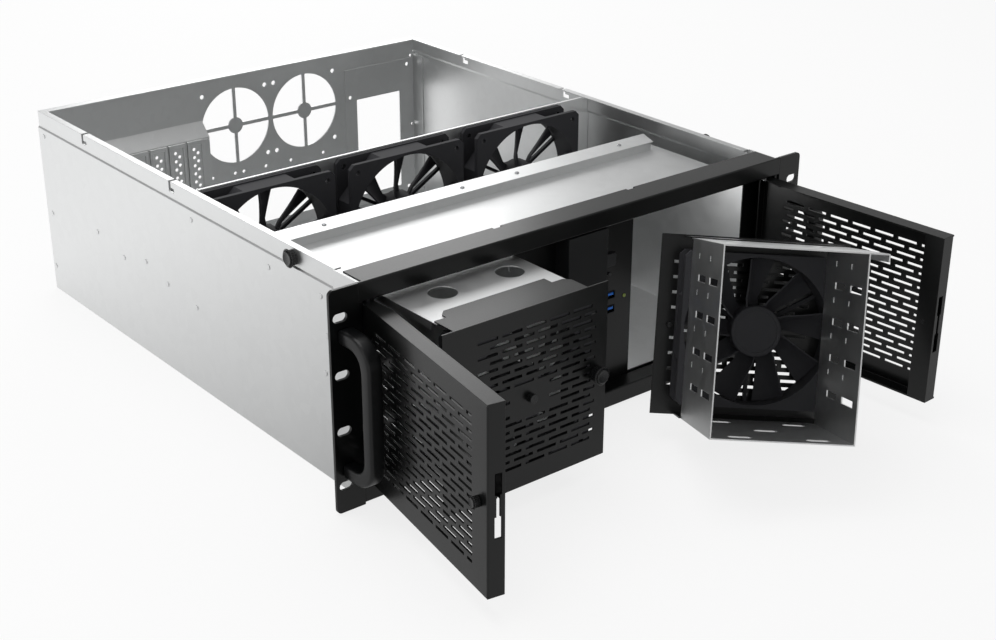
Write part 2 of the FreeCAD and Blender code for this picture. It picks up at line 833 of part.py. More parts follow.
def door_vents(x_start, y0, y1):
    """Brick pattern of long slots across the door face, every other row moved by half a pitch."""
    tools = []
    for row in range(door_vent_rows):
        z = door_vent_low + row * vent_row_pitch
        u = door_vent_end - vent_length + (vent_pitch / 2 if row % 2 == 0 else 0)
        while u + vent_length > door_vent_start:
            low, high = max(u, door_vent_start), min(u + vent_length, door_vent_end)
            if high - low > vent_height:
                half = vent_height / 2
                tools.append(box(x_start + low, x_start + high, y0, y1, z - half, z + half))
            u -= vent_pitch
    return tools


def left_door_closed():
    """Door tray: perforated face, rims folded back, and a channel along the free edge."""
    heel, tip = -hinge_x - door_heel, -hinge_x + door_length
    t = door_sheet
    inner = tip - door_channel
    face = box(heel, tip, 0, t, door_low, door_high)
    face = round_edges(face, t * 0.99, lambda e: is_vertical(e) and e.BoundBox.YMax < 1e-6)
    rim = [
        (heel, 0), (tip, 0), (tip, door_depth), (-hinge_x + door_slope_end, door_depth),
        (-hinge_x + door_heel, door_rim_low), (heel, door_rim_low),
    ]
    top = upright(rim, door_high - t, door_high)
    low = upright(rim, door_low, door_low + t)
    heel_rim = box(heel, heel + t, t, hinge_y + 2.0, door_low, door_high)
    edge = box(tip - t, tip, t, door_depth, door_low, door_high)
    back = box(inner, tip, door_depth - t, door_depth, door_low + t, door_high - t)
    returned = box(inner, inner + t, door_depth - 5.0, door_depth, door_low + t, door_high - t)
    shell = fuse_all([face, top, low, heel_rim, edge, back, returned])
    tools = door_vents(-hinge_x, -1, t + 0.5)
    bore = hinge_pin_radius + hinge_clearance
    tools.append(rod((-hinge_x, hinge_y, door_low - 1), (0, 0, 1), bore, t + 2))
    tools.append(rod((-hinge_x, hinge_y, door_high - t - 1), (0, 0, 1), bore, t + 2))
    tools.append(rod((-hinge_x + door_screw_u, -1, door_screw_z), (0, 1, 0), thumb_neck + 0.05, door_depth + 2))
    middle = door_depth / 2 + 1.5
    steps = [latch_low + k * latch_step for k in range(4)]
    for k, width in enumerate((latch_wide, latch_narrow, latch_wide)):
        tools.append(box(tip - t - 1, tip + 1, middle - width / 2, middle + width / 2, steps[k], steps[k + 1]))
    return cut_all(shell, tools).removeSplitter()


def open_left(shape):
    return turned(shape, (-hinge_x, hinge_y, 0), -left_door_angle)


def open_right(shape):
    return turned(mirrored(shape), (hinge_x, hinge_y, 0), right_door_angle)


def door_screw_closed():
    """Captive thumbscrew: knurled head outside the door and a shank through its edge channel."""
    x = -hinge_x + door_screw_u
    head = rod((x, -turn_gap - 5.0, door_screw_z), (0, 1, 0), 4.0, 5.0)
    shank = rod((x, -turn_gap, door_screw_z), (0, 1, 0), thumb_neck, door_depth + turn_gap + 0.8)
    return head.fuse(shank)


def hinge_pins():
    """Four pins that stand on the bezel's bars and reach through the door rims."""
    solids = []
    reach = door_sheet + 1.0
    for side in (-1, 1):
        low = rod((side * hinge_x, hinge_y, bar_low), (0, 0, 1), hinge_pin_radius, door_low + reach - bar_low)
        high = rod((side * hinge_x, hinge_y, door_high - reach), (0, 0, 1), hinge_pin_radius,
                   bar_top - door_high + reach)
        solids += [low, high]
    return Part.makeCompound(solids)


# Drive cages, drawn with the left wall at x = 0 and the front panel at y = 0

def cage_body():
    """Steel cage: floor and two walls folded up, a top with a runner edge, open at the back."""
    t, w, h = cage_sheet, cage_width, cage_height - cage_hood_sheet
    y0, y1 = cage_body_y, cage_length
    floor = box(0, w, y0, y1, 0, t)
    walls = [box(0, t, y0, y1, 0, h), box(w - t, w, y0, y1, 0, h)]
    top = box(-cage_rail, w, y0 - 6, y1, h - t, h)
    runner = box(-cage_rail, -cage_rail + t, y0, y1, h - 6, h)
    shell = fuse_all([floor, top, runner] + walls)
    tools = []
    for x, y in cage_floor_vents:
        slot = box(x - 9, x + 9, y - 3.5, y + 3.5, -1, t + 0.5)
        tools.append(round_edges(slot, 3.4, is_vertical))
    for z in cage_rows:
        for y in cage_slot_places:
            tools.append(box(-1, w + 1, y - cage_slot_length / 2, y + cage_slot_length / 2,
                             z - cage_slot_height / 2, z + cage_slot_height / 2))
    for x, y in cage_top_holes:
        tools.append(rod((x, y, h - 3), (0, 0, 1), cage_top_hole_radius, 6))
    return cut_all(shell, tools)


def cage_vents():
    """Slots of the cage front, in rows moved by half a pitch, less the bare middle."""
    tools = []
    first, last = cage_vent_left, cage_vent_left + cage_vent_columns * cage_vent_pitch
    for row in range(cage_vent_rows):
        z = cage_vent_low + row * vent_row_pitch
        shift = 0 if row % 2 == 0 else cage_vent_pitch / 2
        for col in range(cage_vent_columns):
            start = first + col * cage_vent_pitch + shift
            low, high = max(start, first), min(start + vent_length, last)
            middle = cage_width / 2
            beside = high < middle - cage_bare_half_width or low > middle + cage_bare_half_width
            bare = abs(z - cage_height / 2) < cage_bare_half_height and not beside
            if high - low < vent_height or bare:
                continue
            tools.append(box(low, high, -1, cage_panel_sheet + 0.3, z - vent_height / 2, z + vent_height / 2))
    return tools


def cage_front():
    """Black cage front: perforated panel with a hood folded back over the fan, and a sill below it."""
    w, h, t = cage_width, cage_height, cage_panel_sheet
    x0, x1 = -cage_panel_left, w + cage_panel_right
    face = box(x0, x1, 0, t, -0.5, h + 0.9)
    hood = upright([
        (1 - cage_rail, 0.5), (w + 1.5, 0.5), (w + 1.5, 20), (w - 3, 25), (w - 13, 25), (w - 13, 34),
        (2, 34), (-3, 29), (-3, 24), (1 - cage_rail, 24),
    ], h - cage_hood_sheet, h)
    sill = upright([(-6, 0.5), (w + 1.5, 0.5), (w + 1.5, cage_body_y), (-6, cage_body_y)], 0, t)
    tools = cage_vents()
    tools.append(rod((cage_screw_x, -1, h / 2), (0, 1, 0), thumb_neck + 0.05, 6))
    return cut_all(fuse_all([face, hood, sill]), tools)


def cage_pull():
    """Small pull knob in the middle of the cage front."""
    return rod((cage_width / 2, -cage_knob_length, cage_height / 2), (0, 1, 0), cage_knob_radius, cage_knob_length)


def cage_thumbscrew():
    """Captive thumbscrew at the right margin, with a slotted black head."""
    z = cage_height / 2
    front = -turn_gap - thumb_length
    head = rod((cage_screw_x, front, z), (0, 1, 0), thumb_radius, thumb_length)
    shank = rod((cage_screw_x, -turn_gap, z), (0, 1, 0), thumb_neck, turn_gap + cage_panel_sheet + 5.0)
    slot = box(cage_screw_x - 8, cage_screw_x + 8, front - 1, front + 1.5, z - 0.6, z + 0.6)
    return head.fuse(shank).cut(slot)


def cage_fan(shape):
    """Fan shape turned to blow into the cage, its strut side against the panel."""
    moved = turned(shape, (0, 0, 0), 180)
    moved.translate(V(cage_fan_x, cage_panel_sheet + fan_depth, cage_height / 2))
    return moved


cage_parts = (
    ("cage_body", cage_body()),
    ("cage_front", cage_front()),
    ("cage_pull", cage_pull()),
    ("cage_thumbscrew", cage_thumbscrew()),
    ("cage_fan_frame", cage_fan(fan_frame(0, 0, 0))),
    ("cage_fan_rotor", cage_fan(fan_rotor(0, 0, 0))),
)


def lid_thumbscrews():
    """Two black lid screws left in the tops of the walls."""
    head = rod((step_half, lid_screw_y, lid_screw_z), (1, 0, 0), thumb_radius, lid_screw_length)
    return Part.makeCompound([head, mirrored(head)])


def standoffs():
    """Nine hexagon posts for the main board, standing on the floor."""
    return Part.makeCompound([
        hex_prism(x, y, sheet, standoff_radius, standoff_height) for x in standoff_columns for y in standoff_rows
    ])


def build():
    save("chassis_tray", chassis_tray())
    save("rear_panel", rear_panel())
    for i in range(slot_count):
        save("slot_cover_%d" % (i + 1), slot_cover(i))
    save("slot_cover_screws", slot_cover_screws())
    save("fan_wall", fan_wall())
    for i in range(3):
        save("fan_frame_%d" % (i + 1), fan_frame(wall_fan_x(i), wall_fan_front, wall_fan_z))
        save("fan_rotor_%d" % (i + 1), fan_rotor(wall_fan_x(i), wall_fan_front, wall_fan_z))
    save("front_bezel", front_bezel())
    save("right_ear", ear())
    save("left_ear", mirrored(ear()))
    save("right_handle", handle())
    save("left_handle", mirrored(handle()))
    save("handle_screws", handle_screws())
    save("front_top_plate", front_top_plate())
    save("drive_bay_frame", drive_bay_frame())
    save("centre_bay_box", centre_bay_box())
    save("centre_panel", centre_panel())
    save("drive_blank", drive_blank())
    save("power_button", power_button())
    save("reset_button", reset_button())
    save("button_board", button_board())
    save("usb_shells", usb_shells())
    save("usb_tongues", usb_tongues())
    save("status_light", status_light())
    save("left_door", open_left(left_door_closed()))
    save("right_door", open_right(left_door_closed()))
    save("left_door_screw", open_left(door_screw_closed()))
    save("right_door_screw", open_right(door_screw_closed()))
    save("hinge_pins", hinge_pins())
    for name, shape in cage_parts:
        fitted = shape.copy()
        fitted.translate(V(left_cage_x, left_cage_front, cage_z))
        save("left_" + name, fitted)
        save("right_" + name, placed(shape, loose_cage_place, loose_cage_turn))
    save("lid_thumbscrews", lid_thumbscrews())
    save("standoffs", standoffs())


build()
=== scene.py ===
"""Finishes, fasteners and studio for a rackmount server case with its lid off."""

import json
import math
from functools import partial

import bpy
from mathutils import Matrix, Vector


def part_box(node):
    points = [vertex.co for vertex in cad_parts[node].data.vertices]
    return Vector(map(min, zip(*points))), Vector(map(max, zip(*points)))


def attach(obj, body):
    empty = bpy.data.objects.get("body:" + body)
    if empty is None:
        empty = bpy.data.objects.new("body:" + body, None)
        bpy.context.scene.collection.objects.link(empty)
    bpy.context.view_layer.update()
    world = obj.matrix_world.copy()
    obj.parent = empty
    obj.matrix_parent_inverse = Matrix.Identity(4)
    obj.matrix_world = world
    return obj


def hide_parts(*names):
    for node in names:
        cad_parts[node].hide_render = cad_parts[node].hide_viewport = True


bl_info = {
    "name": "Rackmount Server Case",
    "version": (1, 0, 0),
    "blender": (4, 5, 0),
    "location": "3D View > Sidebar > Server Case",
    "description": "Gives a packed server case its finishes, small fasteners and a studio",
    "category": "Object",
}

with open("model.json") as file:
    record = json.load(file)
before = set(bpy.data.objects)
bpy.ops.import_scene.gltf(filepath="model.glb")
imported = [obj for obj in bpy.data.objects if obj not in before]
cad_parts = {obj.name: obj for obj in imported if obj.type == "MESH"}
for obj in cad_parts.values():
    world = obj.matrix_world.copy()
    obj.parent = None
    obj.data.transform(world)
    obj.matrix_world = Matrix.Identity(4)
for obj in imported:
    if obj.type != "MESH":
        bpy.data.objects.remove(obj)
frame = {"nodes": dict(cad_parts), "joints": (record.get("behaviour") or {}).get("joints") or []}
NODES = frame["nodes"]
JOINTS = {joint["name"]: joint for joint in frame["joints"]}
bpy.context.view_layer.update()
MM = 0.001

# The CAD frame's Y = 0 is the middle of the base; the front of the rack ears is this far ahead of it.
EAR_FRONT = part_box("right_ear")[0].y

# Names of each fan's frame, rotor and joint, and the body that its frame is fixed to.
FANS = (
    ("fan_%s_1", "chassis"), ("fan_%s_2", "chassis"), ("fan_%s_3", "chassis"),
    ("left_cage_fan_%s", "left_cage"), ("right_cage_fan_%s", "chassis"),
)

IMAGE_WIDTH = 996
SENSOR_WIDTH = 36.0


def linear(code):
    """Linear RGB of an sRGB hex colour."""
    values = [int(code[i:i + 2], 16) / 255 for i in (1, 3, 5)]
    return tuple(v / 12.92 if v <= 0.04045 else ((v + 0.055) / 1.055) ** 2.4 for v in values)


def rgba(colour):
    return (*colour, 1.0)


def line_of(joint):
    """Place and direction of a joint's axis."""
    return Vector(JOINTS[joint]["pos_m"]), Vector(JOINTS[joint]["axis"]).normalized()


# Sizes and colours a user would change

size_property = partial(bpy.props.FloatProperty, subtype="DISTANCE", unit="LENGTH")
angle_property = partial(bpy.props.FloatProperty, subtype="ANGLE", unit="ROTATION")
colour_property = partial(bpy.props.FloatVectorProperty, subtype="COLOR", size=3, min=0, max=1)
power_property = partial(bpy.props.FloatProperty, unit="POWER", min=0)
share_property = partial(bpy.props.FloatProperty, subtype="FACTOR", min=0, max=1)


class SERVERCASE_PG_finishes(bpy.types.PropertyGroup):
    """Colours and grain sizes of the finishes."""

    steel: colour_property(
        name="Galvanised steel", description="Colour of the bare sheet", default=linear("#e2e3e3"))
    coat: colour_property(
        name="Powder coat", description="Colour of the coated doors, bezel and cage fronts",
        default=linear("#070808"))
    plastic: colour_property(
        name="Fan plastic", description="Colour of the moulded fans", default=linear("#0c0d0e"))
    port: colour_property(
        name="Port tongue", description="Colour of the insulators in the two ports", default=linear("#1480ff"))
    spangle: size_property(
        name="Zinc spangle", description="Width of one crystal in the zinc", default=0.009, min=0.001, max=0.05)
    grain: size_property(
        name="Coat grain", description="Width of one bump in the powder coat", default=0.0009, min=0.0002, max=0.01)


class SERVERCASE_PG_fasteners(bpy.types.PropertyGroup):
    """Sizes of the small fasteners and punched holes."""

    rivet_radius: size_property(
        name="Rivet radius", description="Radius of a flush rivet in the side walls",
        default=0.0022, min=0.0005, max=0.006)
    rivet_height: size_property(
        name="Rivet height", description="How far a rivet head stands off the wall",
        default=0.0005, min=0.0001, max=0.002)
    handle_width: size_property(
        name="Handle width", description="Width of the handles' flat bar", default=0.0125, min=0.009, max=0.018)
    knurl_count: bpy.props.IntProperty(
        name="Knurl ridges", description="Ridges round a thumbscrew head", default=20, min=8, max=60)
    knurl_depth: size_property(
        name="Knurl depth", description="Depth of the grooves between the ridges",
        default=0.00035, min=0.0001, max=0.002)
    fan_hole: size_property(
        name="Fan screw hole", description="Radius of the holes in the corners of a fan",
        default=0.0022, min=0.001, max=0.004)
    fan_spacing: size_property(
        name="Fan hole spacing", description="Distance between the screw holes of a 120 mm fan",
        default=0.105, min=0.05, max=0.2)


class SERVERCASE_PG_fans(bpy.types.PropertyGroup):
    """Shape of the fan rotors."""

    blades: bpy.props.IntProperty(name="Blades", description="Blades on one rotor", default=9, min=3, max=15)
    hub_radius: size_property(
        name="Hub radius", description="Radius of the hub cup", default=0.020, min=0.005, max=0.05)
    hub_front: size_property(
        name="Hub front", description="Reach of the hub ahead of the fan's middle",
        default=0.0105, min=0.002, max=0.02)
    hub_back: size_property(
        name="Hub back", description="Reach of the hub behind the fan's middle", default=0.0092, min=0.002, max=0.02)
    tip_radius: size_property(
        name="Tip radius", description="Radius of the blade tips", default=0.0564, min=0.02, max=0.1)
    root_chord: size_property(
        name="Root chord", description="Width of a blade at the hub", default=0.0175, min=0.005, max=0.05)
    tip_chord: size_property(
        name="Tip chord", description="Width of a blade at its tip", default=0.029, min=0.005, max=0.06)
    root_pitch: angle_property(
        name="Root pitch", description="Turn of a blade out of the fan's plane at the hub", default=math.radians(48))
    tip_pitch: angle_property(
        name="Tip pitch", description="Turn of a blade out of the fan's plane at its tip", default=math.radians(30))
    camber: size_property(
        name="Camber", description="Hollow of a blade across its width", default=0.0022, min=0, max=0.01)
    sweep: size_property(
        name="Sweep", description="How far a blade's tip leans ahead of its root", default=0.014, min=-0.03, max=0.03)
    cage_phase: angle_property(
        name="Cage fan phase", description="Turn at which the removed cage's rotor stands", default=math.radians(9))
    blade_thickness: size_property(
        name="Blade thickness", description="Thickness of a blade", default=0.0013, min=0.0005, max=0.004)


class SERVERCASE_PG_studio(bpy.types.PropertyGroup):
    """Floor, lights and camera."""

    floor: colour_property(
        name="Floor", description="Colour of the floor and backdrop", default=linear("#f6f6f6"))
    ambient: bpy.props.FloatProperty(
        name="Surrounding light", description="Brightness of the white surroundings", default=0.55, min=0, max=2)
    ceiling: share_property(
        name="Ceiling", description="Brightness of the studio's ceiling in bright metal", default=0.34)
    key: power_property(
        name="Key light", description="Power of the large light above", default=16.0)
    fill: power_property(
        name="Side light", description="Power of the light at the left", default=4.0)
    back: power_property(
        name="Back light", description="Power of the panel behind the case", default=5.6)
    bay: power_property(
        name="Bay light", description="Power of the small light in the empty bay", default=0.05)
    paper_glow: share_property(
        name="Paper white", description="Share of plain white in the floor as the camera sees it", default=0.80)
    # Strength of the paper's painted glow, as bright metal mirrors it in front of the case.
    near_paper: share_property(
        name="Near paper", description="Brightness of the paper in front of the case in bright metal", default=0.5)
    focal_pixels: bpy.props.FloatProperty(
        name="Focal length", description="Focal length in pixels of the picture", default=1636.2, min=100)
    yaw: angle_property(
        name="Yaw", description="Turn of the view from straight ahead towards the right", default=math.radians(39.17))
    pitch: angle_property(
        name="Pitch", description="How far the view looks down", default=math.radians(24.35))
    roll: angle_property(
        name="Roll", description="Tilt of the view about its own axis", default=math.radians(0.15))
    place: bpy.props.FloatVectorProperty(
        name="Camera", description="Place of the camera",
        subtype="TRANSLATION", unit="LENGTH", size=3, default=(-0.8005, -1.13215, 0.6218))


# Materials

def add_node(tree, kind, settings=None, values=None, links=None):
    """Add a node with its settings, socket values and incoming links."""
    made = tree.nodes.new(kind)
    for name, value in (settings or {}).items():
        setattr(made, name, value)
    for name, value in (values or {}).items():
        made.inputs[name].default_value = value
    for name, source in (links or {}).items():
        tree.links.new(source, made.inputs[name])
    return made


def blank_tree(owner):
    """Emptied node tree of a material or world."""
    owner.use_nodes = True
    owner.node_tree.nodes.clear()
    return owner.node_tree


def surface(name, values):
    """New material's tree, its shader with the sockets that stay constant, and its object coordinates."""
    tree = blank_tree(bpy.data.materials.new(name))
    shader = add_node(tree, "ShaderNodeBsdfPrincipled", values=values)
    add_node(tree, "ShaderNodeOutputMaterial", links={"Surface": shader.outputs["BSDF"]})
    place = add_node(tree, "ShaderNodeTexCoord").outputs["Object"]
    return tree, shader, place


def shades(colour, low, high):
    """Two shares of a colour, as the two ends of a mix."""
    return {end: rgba([min(1.0, c * share) for c in colour]) for end, share in (("A", low), ("B", high))}


def pattern_finish(tree, shader, colour, tint, shade, gloss, roughness):
    """Let one pattern lead the colour between two shades of itself, and another the roughness."""
    mix = add_node(tree, "ShaderNodeMix", {"data_type": "RGBA"}, shades(colour, *shade), {"Factor": tint})
    low, high = roughness
    rough = add_node(tree, "ShaderNodeMapRange", values={"To Min": low, "To Max": high}, links={"Value": gloss})
    tree.links.new(mix.outputs["Result"], shader.inputs["Base Color"])
    tree.links.new(rough.outputs["Result"], shader.inputs["Roughness"])


def relief(tree, shader, pattern, strength, depth, edge):
    """Raise the surface by a pattern, and round its folded and cut edges by a radius."""
    soft = add_node(tree, "ShaderNodeBevel", {"samples": 4}, {"Radius": edge}).outputs["Normal"]
    bump = add_node(
        tree, "ShaderNodeBump", values={"Strength": strength, "Distance": depth},
        links={"Height": pattern, "Normal": soft})
    tree.links.new(bump.outputs["Normal"], shader.inputs["Normal"])


def galvanised_steel(finishes):
    """Hot-dip zinc on rolled sheet: dull mirror, faint crystals of differing grey, soft clouding."""
    tree, shader, place = surface("galvanised_steel", {"Metallic": 1.0})
    crystals = add_node(
        tree, "ShaderNodeTexVoronoi", values={"Scale": 1 / finishes.spangle, "Randomness": 1.0},
        links={"Vector": place})
    cells = add_node(tree, "ShaderNodeRGBToBW", links={"Color": crystals.outputs["Color"]}).outputs["Val"]
    # Clouds about 60 mm wide come from handling and from uneven zinc.
    clouds = add_node(
        tree, "ShaderNodeTexNoise", values={"Scale": 16.0, "Detail": 4.0, "Roughness": 0.6},
        links={"Vector": place}).outputs["Fac"]
    # Rolling marks about 1 mm apart, drawn wider than the real ones so that they show.
    grain = add_node(
        tree, "ShaderNodeTexNoise", values={"Scale": 900.0, "Detail": 2.0}, links={"Vector": place}).outputs["Fac"]
    blend = add_node(
        tree, "ShaderNodeMix", values={"Factor": 0.45}, links={"A": clouds, "B": cells}).outputs["Result"]
    pattern_finish(tree, shader, finishes.steel, blend, (0.95, 1.04), blend, (0.33, 0.43))
    relief(tree, shader, grain, 0.10, 0.1 * MM, 0.6 * MM)


def powder_coated_steel(finishes):
    """Baked polyester powder: near black, fine orange-peel texture, a skin that shines at a low angle."""
    tree, shader, place = surface("powder_coated_steel", {"IOR": 1.36, "Coat Weight": 0.3, "Coat Roughness": 0.18})
    peel = add_node(
        tree, "ShaderNodeTexNoise", values={"Scale": 1 / finishes.grain, "Detail": 3.0, "Roughness": 0.6},
        links={"Vector": place}).outputs["Fac"]
    # Patches about 80 mm wide where the coat is a little thinner.
    patches = add_node(
        tree, "ShaderNodeTexNoise", values={"Scale": 12.0, "Detail": 2.0}, links={"Vector": place}).outputs["Fac"]
    pattern_finish(tree, shader, finishes.coat, patches, (0.88, 1.12), peel, (0.28, 0.40))
    relief(tree, shader, peel, 0.22, 0.2 * MM, 0.7 * MM)


def moulded_plastic(name, colour, roughness, ior=1.5, texture_mm=0.6, strength=0.12):
    """Moulded plastic: even colour, the mould's spark-eroded texture, a soft highlight on its edges."""
    tree, shader, place = surface(name, {"IOR": ior})
    spark = add_node(
        tree, "ShaderNodeTexNoise", values={"Scale": 1 / (texture_mm * MM), "Detail": 2.0},
        links={"Vector": place}).outputs["Fac"]
    flow = add_node(
        tree, "ShaderNodeTexNoise", values={"Scale": 30.0, "Detail": 1.0}, links={"Vector": place}).outputs["Fac"]
    pattern_finish(tree, shader, colour, flow, (0.9, 1.1), spark, (roughness - 0.06, roughness + 0.06))
    relief(tree, shader, spark, strength, 0.1 * MM, 0.5 * MM)


def lacquered_bar(colour):
    """Black lacquer over bent flat bar: smooth, with long bright reflections at the bends."""
    tree, shader, place = surface("lacquered_bar", {"IOR": 1.42})
    ripple = add_node(
        tree, "ShaderNodeTexNoise", values={"Scale": 120.0, "Detail": 1.0}, links={"Vector": place}).outputs["Fac"]
    pattern_finish(tree, shader, colour, ripple, (0.9, 1.1), ripple, (0.28, 0.36))
    relief(tree, shader, ripple, 0.05, 0.2 * MM, 1.2 * MM)


def zinc_plate(name, colour, roughness):
    """Bright zinc on turned steel: smooth metal with a faint turned grain."""
    tree, shader, place = surface(name, {"Metallic": 1.0})
    grain = add_node(
        tree, "ShaderNodeTexNoise", values={"Scale": 1500.0, "Detail": 2.0}, links={"Vector": place}).outputs["Fac"]
    pattern_finish(tree, shader, colour, grain, (0.9, 1.1), grain, (roughness, roughness + 0.1))


def light_pipe(colour):
    """Clear tinted acrylic with a dim glow behind it."""
    tree, shader, place = surface(
        "light_pipe", {"Roughness": 0.25, "Emission Color": rgba(colour), "Emission Strength": 0.15})
    glow = add_node(tree, "ShaderNodeTexNoise", values={"Scale": 600.0}, links={"Vector": place}).outputs["Fac"]
    mix = add_node(tree, "ShaderNodeMix", {"data_type": "RGBA"}, shades(colour, 0.8, 1.2), {"Factor": glow})
    tree.links.new(mix.outputs["Result"], shader.inputs["Base Color"])


def seen_ray(tree):
    """One for rays from the camera, a mirror or a clear surface, none for rays that carry soft light."""
    rays = add_node(tree, "ShaderNodeLightPath")
    sharp = add_node(
        tree, "ShaderNodeMath", {"operation": "MAXIMUM"},
        links={0: rays.outputs["Is Glossy Ray"], 1: rays.outputs["Is Transmission Ray"]})
    return add_node(
        tree, "ShaderNodeMath", {"operation": "MAXIMUM"},
        links={0: rays.outputs["Is Camera Ray"], 1: sharp.outputs["Value"]}).outputs["Value"]


def white_to_camera(tree, strength):
    """Full strength for rays from the camera, and another strength for all the rest."""
    rays = add_node(tree, "ShaderNodeLightPath")
    return add_node(
        tree, "ShaderNodeMix", {"data_type": "FLOAT"}, {"B": 1.0},
        {"Factor": rays.outputs["Is Camera Ray"], "A": strength}).outputs["Result"]


def finish_set():
    """All finishes, made once and found again by name."""
    finishes = bpy.context.scene.servercase_finishes
    if "galvanised_steel" not in bpy.data.materials:
        galvanised_steel(finishes)
        powder_coated_steel(finishes)
        moulded_plastic("fan_plastic", finishes.plastic, 0.38, ior=1.4)
        moulded_plastic("knob_plastic", linear("#131415"), 0.28)
        moulded_plastic("button_plastic", linear("#202123"), 0.32)
        moulded_plastic("blank_plastic", linear("#191a1b"), 0.5, ior=1.42)
        moulded_plastic("port_plastic", finishes.port, 0.3)
        moulded_plastic("circuit_board", linear("#12381f"), 0.35, texture_mm=1.5, strength=0.3)
        lacquered_bar(linear("#0a0b0c"))
        zinc_plate("zinc_screw", linear("#b9bbbd"), 0.22)
        zinc_plate("black_nickel", linear("#36373a"), 0.3)
        light_pipe(linear("#50562f"))
    return bpy.data.materials


def dress(names, material):
    for name in names:
        slots = NODES[name].data.materials
        slots.clear()
        slots.append(finish_set()[material])


# Modelling

def switch(mode):
    bpy.ops.object.mode_set(mode=mode)


def deselect():
    if bpy.context.mode != "OBJECT":
        switch("OBJECT")
    bpy.ops.object.select_all(action="DESELECT")


def pick(objects):
    deselect()
    for obj in objects:
        obj.select_set(True)
    bpy.context.view_layer.objects.active = objects[0]


def placed(name, data):
    """New object of the data, in the scene."""
    data.name = name
    made = bpy.data.objects.new(name, data)
    bpy.context.scene.collection.objects.link(made)
    return made


def joined(pieces, name):
    """One piece made of several."""
    pick(pieces)
    if len(pieces) > 1:
        bpy.ops.object.join()
    piece = bpy.context.active_object
    piece.name = piece.data.name = name
    return piece


def pick_parts(obj, wanted, kind="FACE"):
    """Select in edit mode the faces that the test picks, or the points where the kind is VERT."""
    switch("EDIT")
    bpy.ops.mesh.select_mode(type=kind)
    bpy.ops.mesh.select_all(action="DESELECT")
    switch("OBJECT")
    for part in obj.data.polygons if kind == "FACE" else obj.data.vertices:
        part.select = wanted(part)
    switch("EDIT")


def block(size, place):
    """Box of a size about the origin, moved by a matrix, active and in object mode."""
    deselect()
    bpy.ops.mesh.primitive_cube_add(size=1, location=(0, 0, 0))
    made = bpy.context.active_object
    made.data.transform(place @ Matrix.Diagonal((*size, 1)))
    return made


def turned_post(radius, length, sides):
    """Upright cylinder standing on the origin, active and in object mode."""
    deselect()
    bpy.ops.mesh.primitive_cylinder_add(vertices=sides, radius=radius, depth=length, location=(0, 0, 0))
    post = bpy.context.active_object
    post.data.transform(Matrix.Translation((0, 0, length / 2)))
    return post


def standing(place, axis):
    """Move that takes a shape made along +Z to a place, pointing along an axis."""
    turn = Vector(axis).normalized().to_track_quat("Z", "Y").to_matrix().to_4x4()
    return Matrix.Translation(place) @ turn


def repeated(pattern, moves, name):
    """Copies of a shape, each moved by its own matrix, joined into one piece."""
    copies = [placed(name, pattern.data.copy()) for _ in moves]
    for copy, move in zip(copies, moves):
        copy.data.transform(move)
    bpy.data.objects.remove(pattern)
    return joined(copies, name)


def finish_piece(piece, material, body, smooth=35.0):
    piece.data.materials.clear()
    piece.data.materials.append(finish_set()[material])
    pick([piece])
    bpy.ops.object.shade_smooth_by_angle(angle=math.radians(smooth))
    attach(piece, body)


def merged_copy(node, name):
    """Copy of a CAD node's mesh with its loose triangles joined."""
    piece = placed(name, NODES[node].data.copy())
    pick([piece])
    switch("EDIT")
    bpy.ops.mesh.select_all(action="SELECT")
    bpy.ops.mesh.customdata_custom_splitnormals_clear()
    bpy.ops.mesh.remove_doubles(threshold=1e-6)
    switch("OBJECT")
    return piece


def rounded(piece, width, segments):
    """Round the piece's sharp edges."""
    edge = piece.modifiers.new("edges", "BEVEL")
    edge.width, edge.segments = width, segments
    edge.limit_method, edge.angle_limit = "ANGLE", math.radians(30)
    pick([piece])
    bpy.ops.object.modifier_apply(modifier=edge.name)
    return piece


def punched(piece, cutter, operation="DIFFERENCE"):
    """Cut the cutter's shape out of the piece, or keep only what lies in it, and delete the cutter."""
    cut = piece.modifiers.new("holes", "BOOLEAN")
    cut.operation = operation
    cut.solver = "EXACT"
    cut.object = cutter
    pick([piece])
    bpy.ops.object.modifier_apply(modifier=cut.name)
    bpy.data.objects.remove(cutter)
    return piece


def rivet_head(radius, height):
    """Flush rivet: a low head with a rounded rim and a shallow middle."""
    head = turned_post(radius, height, 14)
    pick_parts(head, lambda face: face.normal.z > 0.9)
    bpy.ops.mesh.inset(thickness=radius * 0.3, depth=0)
    bpy.ops.transform.translate(value=(0, 0, height * 0.35))
    bpy.ops.mesh.inset(thickness=radius * 0.35, depth=-height * 0.3)
    switch("OBJECT")
    return head


def cross_head(radius, height):
    """Pan head with a cross recess."""
    head = turned_post(radius, height, 16)
    pick_parts(head, lambda face: face.normal.z > 0.9)
    bpy.ops.mesh.inset(thickness=radius * 0.22, depth=radius * 0.12)
    switch("OBJECT")
    for across, along in ((1.1, 0.22), (0.22, 1.1)):
        punched(head, block((radius * across, radius * along, height * 0.9), Matrix.Translation((0, 0, height))))
    return head


